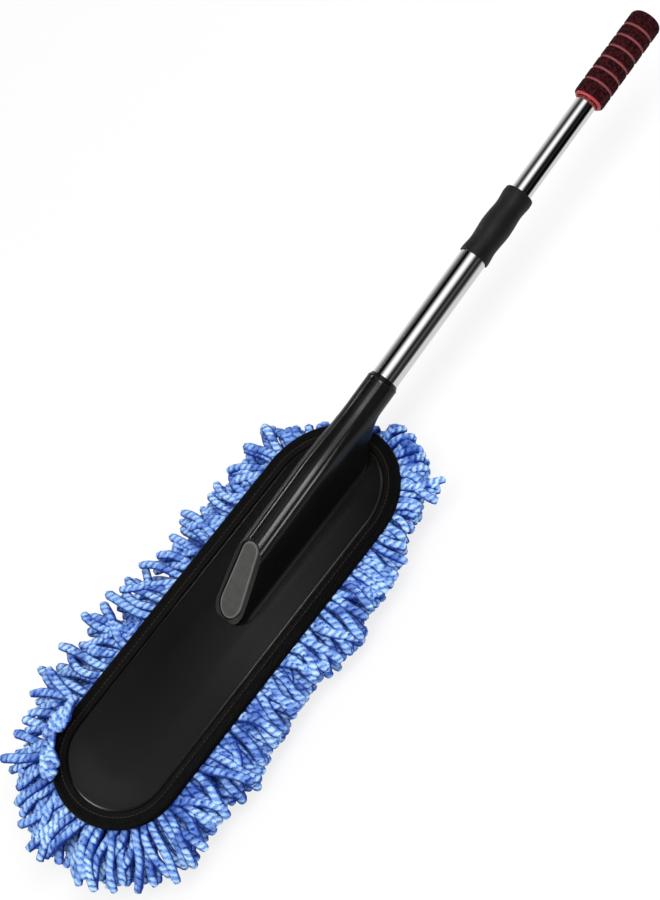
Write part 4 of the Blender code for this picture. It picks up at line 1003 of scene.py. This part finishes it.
# %% Stitches
STITCHES = 236
thread = Finish("thread_black_finish", (0.03, 0.026, 0.024), 0.6)
thread.tint(thread.noise(0.0003, 2.0), (0.018, 0.015, 0.014), (0.055, 0.048, 0.042))
spots, facings, _ = outline(STITCHES)
share = np.linspace(0.0, 1.0, 5)
along_stitch = (share - 0.5) * 0.0027
lift = LEDGE + 0.00175 + 0.00032 * np.sin(share * math.pi)
fat = 0.00026 * np.sin(0.25 + share * 2.64)
tangent = np.column_stack([-facings[:, 1], facings[:, 0]])
centre = spots[:, None] - facings[:, None] * 0.004 + tangent[:, None] * along_stitch[:, None]
ring = fat[:, None, None] * circle(6)
flat = centre[:, :, None] + facings[:, None, None] * ring[..., :1]
stitches = piece("binding_stitches", joined(flat, lift[:, None, None] + ring[..., 1:]),
                 closed_tubes(STITCHES, 5, 6), thread, "head", "binding_black")

# %% [markdown]
# ## The pieces inside
# What the brush holds inside keeps its CAD mesh and gets its finish: screws of plated steel, and plugs,
# collet and bush of natural plastic.

# %% Finishes of the pieces inside
steel = Finish("screw_steel_finish", (0.55, 0.55, 0.54), 0.35, 1.0)
brushed = steel.noise(0.0006, 3.0)
steel.feed("Roughness", 0.28 + 0.2 * brushed)
steel.tint(brushed, (0.48, 0.48, 0.46), (0.62, 0.61, 0.58))
natural = Finish("inner_plastic_finish", (0.35, 0.35, 0.36), 0.5)
flow = natural.noise(0.004, 3.0)
natural.tint(flow, (0.31, 0.31, 0.32), (0.39, 0.39, 0.4))
natural.feed("Roughness", 0.42 + 0.15 * flow)
inside_finish = {"base_plate": moulded, "tube_screw": steel}
inside_finish |= {f"base_screw_{number}": steel for number in range(1, 9)}
inside_finish |= dict.fromkeys(["lower_tube_plug", "collet_body", "guide_bush", "inner_end_plug"], natural)
for node, finish in inside_finish.items():
    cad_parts[node].data.materials.clear()
    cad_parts[node].data.materials.append(finish.material)
print("finished", len(inside_finish), "CAD pieces")

# %% [markdown]
# ## Floor, background and light
# The photograph has a plain white ground. The floor's paint gives camera rays mostly pure white, and keeps
# the rest for the brush's soft shadow. The world lights everything evenly at a plain level. One wide lamp
# overhead gives the cords their light and dark sides.

# %% Floor
corners = [(-6, -6, 0), (6, -6, 0), (6, 6, 0), (-6, 6, 0)]
floor = add_object("floor", new_mesh("floor", corners, [(0, 1, 2, 3)]))
ground = Finish("floor_white", (0.93, 0.93, 0.93), 0.9, specular=0.0)
shade = ground.colours(ground.ray("Glossy"), (1.0, 1.0, 1.0), (0.78, 0.78, 0.78))
white = ground.node("Emission", None, {"Color": shade, "Strength": 1.0})
share = 0.8 * ground.ray("Camera") + ground.ray("Glossy")
paint = Number(ground, ground.shader.outputs[0])
ground.surface(ground.node("MixShader", None, {0: share, 1: paint, 2: white}))
floor.data.materials.append(ground.material)

# %% World
bpy.context.scene.world = bpy.data.worlds.new("studio")
sky = Graph(bpy.context.scene.world)
level = 0.52 + 0.48 * sky.ray("Camera") + 0.48 * sky.ray("Transmission") - 0.34 * sky.ray("Glossy")
backdrop = sky.tree.nodes["Background"]
backdrop.inputs["Color"].default_value = (1.0, 1.0, 1.0, 1.0)
sky.put(backdrop.inputs["Strength"], level)
print("the world lights at 0.52 and shows as 1")


# %% Lamp
def stand(thing, right, upward, backward, place):
    """Turns a lamp or camera, by its three directions as columns of its matrix, and places it."""
    matrix = np.eye(4)
    matrix[:3] = np.column_stack([right, upward, backward, place])
    thing.matrix_world = matrix.T.tolist()


LAMP_PLACE, LAMP_AIM = np.array([0.15, -0.5, 1.9]), np.array([0.1, 0.0, 0.0])
light = bpy.data.lights.new("overhead_lamp", "AREA")
light.shape, light.size, light.size_y, light.energy = "RECTANGLE", 2.4, 0.6, 33.0
lamp = add_object("overhead_lamp", light)
away = unit(LAMP_PLACE - LAMP_AIM)
along = unit(np.array([1.0, 0.0, 0.0]) - away * away[0])
stand(lamp, along, np.cross(away, along), away, LAMP_PLACE)
lamp.visible_glossy = False
print("one lamp of", light.energy, "W")

# %% [markdown]
# ## A tent for the reflections
# A bright tube shows nothing but what stands round it. A tent of dark and light cards along the handle is
# seen only in reflections. It draws the dark lines that tell the eye the tubes are chrome, and the soft bands
# along the black ridge. Each row of the table has an angle from the zenith towards the camera's side, a
# distance from the handle's axis, and the brightness mirrored at seven places along it: beyond the toe, the
# toe, the middle of the deck, the insert, the socket, the lower tube and the upper tube. A card stands
# further from the middle than the place that mirrors it, the more so the further off it is.

# %% Tent
TENT_ROWS = np.array([
    (-92, 1.1, 6, 0.5, 0.3, 0.15, 0.15, 0.5, 0.5),
    (-77, 1.1, 8, 0.4, 0.2, 0.1, 0.1, 0.37, 0.42),
    (-68, 1.1, 9, 0.4, 0.1, 0.1, 0.1, 0.19, 0.2),
    (-66, 1.1, 9, 0.4, 0.1, 24, 12, 0.18, 0.19),
    (-58, 1.1, 9, 0.4, 0.05, 24, 12, 0.13, 0.12),
    (-56, 1.1, 9, 0.45, 0, 0, 0, 0.11, 0.1),
    (-46, 1.1, 9, 0.6, 0, 0, 0, 0.03, 0.03),
    (-40, 1.1, 8, 0.8, 0, 0, 0, 0, 0.03),
    (-34, 1.1, 6, 0.9, 0, 0.05, 0, 0, 0.1),
    (-28, 1.1, 4, 0.95, 0.3, 1.8, 0.35, 0, 0.22),
    (-21, 1.1, 2, 0.85, 0.35, 1.0, 0.5, 0.06, 0.55),
    (-10, 1.1, 1, 0.6, 0.4, 0.8, 0.5, 0.52, 1.1),
    (0, 1.1, 0.4, 0.4, 0.4, 1, 0.8, 1.2, 1.3),
    (9, 1.1, 0.3, 0.3, 0.3, 1, 1, 1.4, 1.3),
    (11, 1.1, 0.3, 0.3, 0.3, 21, 9.5, 1.4, 1.25),
    (22, 1.1, 0.2, 0.2, 0.3, 21, 9.5, 1.2, 0.75),
    (24, 1.1, 0.2, 0.2, 0.2, 0.7, 0.7, 1.1, 0.65),
    (32, 1.1, 0.1, 0.1, 0.1, 0.4, 0.3, 0.58, 0.2),
    (43, 1.1, 0, 0, 0.05, 0.4, 0.3, 0.07, 0.01),
    (53, 1.1, 0, 0, 0.05, 0.4, 0.3, 0.01, 0.01),
    (58, 1.1, 0, 0, 0.05, 0.4, 0.3, 0.02, 0.01),
    (64, 1.1, 0, 0, 0.05, 0.4, 0.3, 0.07, 0.01),
    (75, 1.1, 0, 0, 0.1, 0.4, 0.3, 0.1, 0.03),
    (84, 0.6, 0, 0, 0.1, 0.4, 0.3, 0.03, 0.01),
    (92, 0.5, 0, 0, 0.1, 0.4, 0.3, 0.02, 0),
    (98, 0.5, 0, 0, 0.1, 0.4, 0.3, 0.03, 0),
    (104, 0.36, 0, 0, 0.1, 0.4, 0.3, 0.1, 0),
    (112, 0.24, 0, 0, 0.1, 0.4, 0.3, 0.3, 0.02),
    (118, 0.2, 0, 0, 0.1, 0.4, 0.3, 0.55, 0.05),
    (125, 0.165, 0, 0, 0.1, 0.4, 0.4, 0.78, 0.1)])
TENT_PLACES = [(-1.4, 0), (-0.8, 0), (-0.72, 1), (-0.17, 1), (-0.03, 2), (0.015, 2), (0.03, 3), (0.06, 3),
               (0.12, 4), (0.15, 4), (0.162, 5), (0.34, 5), (0.365, 6), (1.3, 6)]
CARD_SHIFT, CARD_SPREAD = 0.035, 0.68
angle, far_off = np.radians(TENT_ROWS[:, 0]), TENT_ROWS[:, 1]
places = np.array([place for place, _ in TENT_PLACES])
shades = TENT_ROWS[:, [2 + column for _, column in TENT_PLACES]].T
card_at = places[:, None] + far_off * (CARD_SHIFT + CARD_SPREAD * places[:, None])
cross = np.stack([-np.sin(angle) * far_off, np.cos(angle) * far_off], axis=-1)
tent_grid = joined(card_at[..., None], cross)
rows_along, rows_round = shades.shape
corner = np.arange(rows_along - 1)[:, None] * rows_round + np.arange(rows_round - 1)
tent_faces = np.stack([corner, corner + 1, corner + 1 + rows_round, corner + rows_round], -1).reshape(-1, 4)
tent_mesh = new_mesh("tent", from_handle(tent_grid), tent_faces)
mark_points(tent_mesh, "shade", shades)
canvas = Finish("tent_canvas", (0.0, 0.0, 0.0), 1.0, specular=0.0)
seen = canvas.mark("shade")
light = canvas.node("CombineColor", None, {0: seen, 1: seen, 2: seen})
glow = canvas.node("Emission", None, {"Color": light, "Strength": 1.0})
canvas.surface(glow)
tent_mesh.materials.append(canvas.material)
tent = add_object("tent", tent_mesh)
tent.visible_camera = tent.visible_diffuse = tent.visible_shadow = tent.visible_transmission = False
print("the tent has", len(tent_faces), "cards")

# %% [markdown]
# ## The camera
# The camera's place and lens were worked out from the rings along the handle and the rim of the paddle. Its
# matrix holds right, up and backward as columns. A small shift puts the picture's middle where the photograph
# has it.

# %% Camera
PHOTO_HEIGHT = 900
right = np.array([0.60755, -0.72451, -0.32552])
upward = np.array([0.77212, 0.44259, 0.45601])
eye = bpy.data.cameras.new("camera")
eye.sensor_fit, eye.sensor_height, eye.lens = "VERTICAL", 36.0, 79.0
eye.shift_x, eye.shift_y = -32.0 / PHOTO_HEIGHT, -12.0 / PHOTO_HEIGHT
camera = add_object("camera", eye)
stand(camera, right, upward, np.cross(right, upward), (-0.1094, -0.7925, 1.3023))
bpy.context.scene.camera = camera
bpy.context.scene.view_settings.view_transform = "Standard"
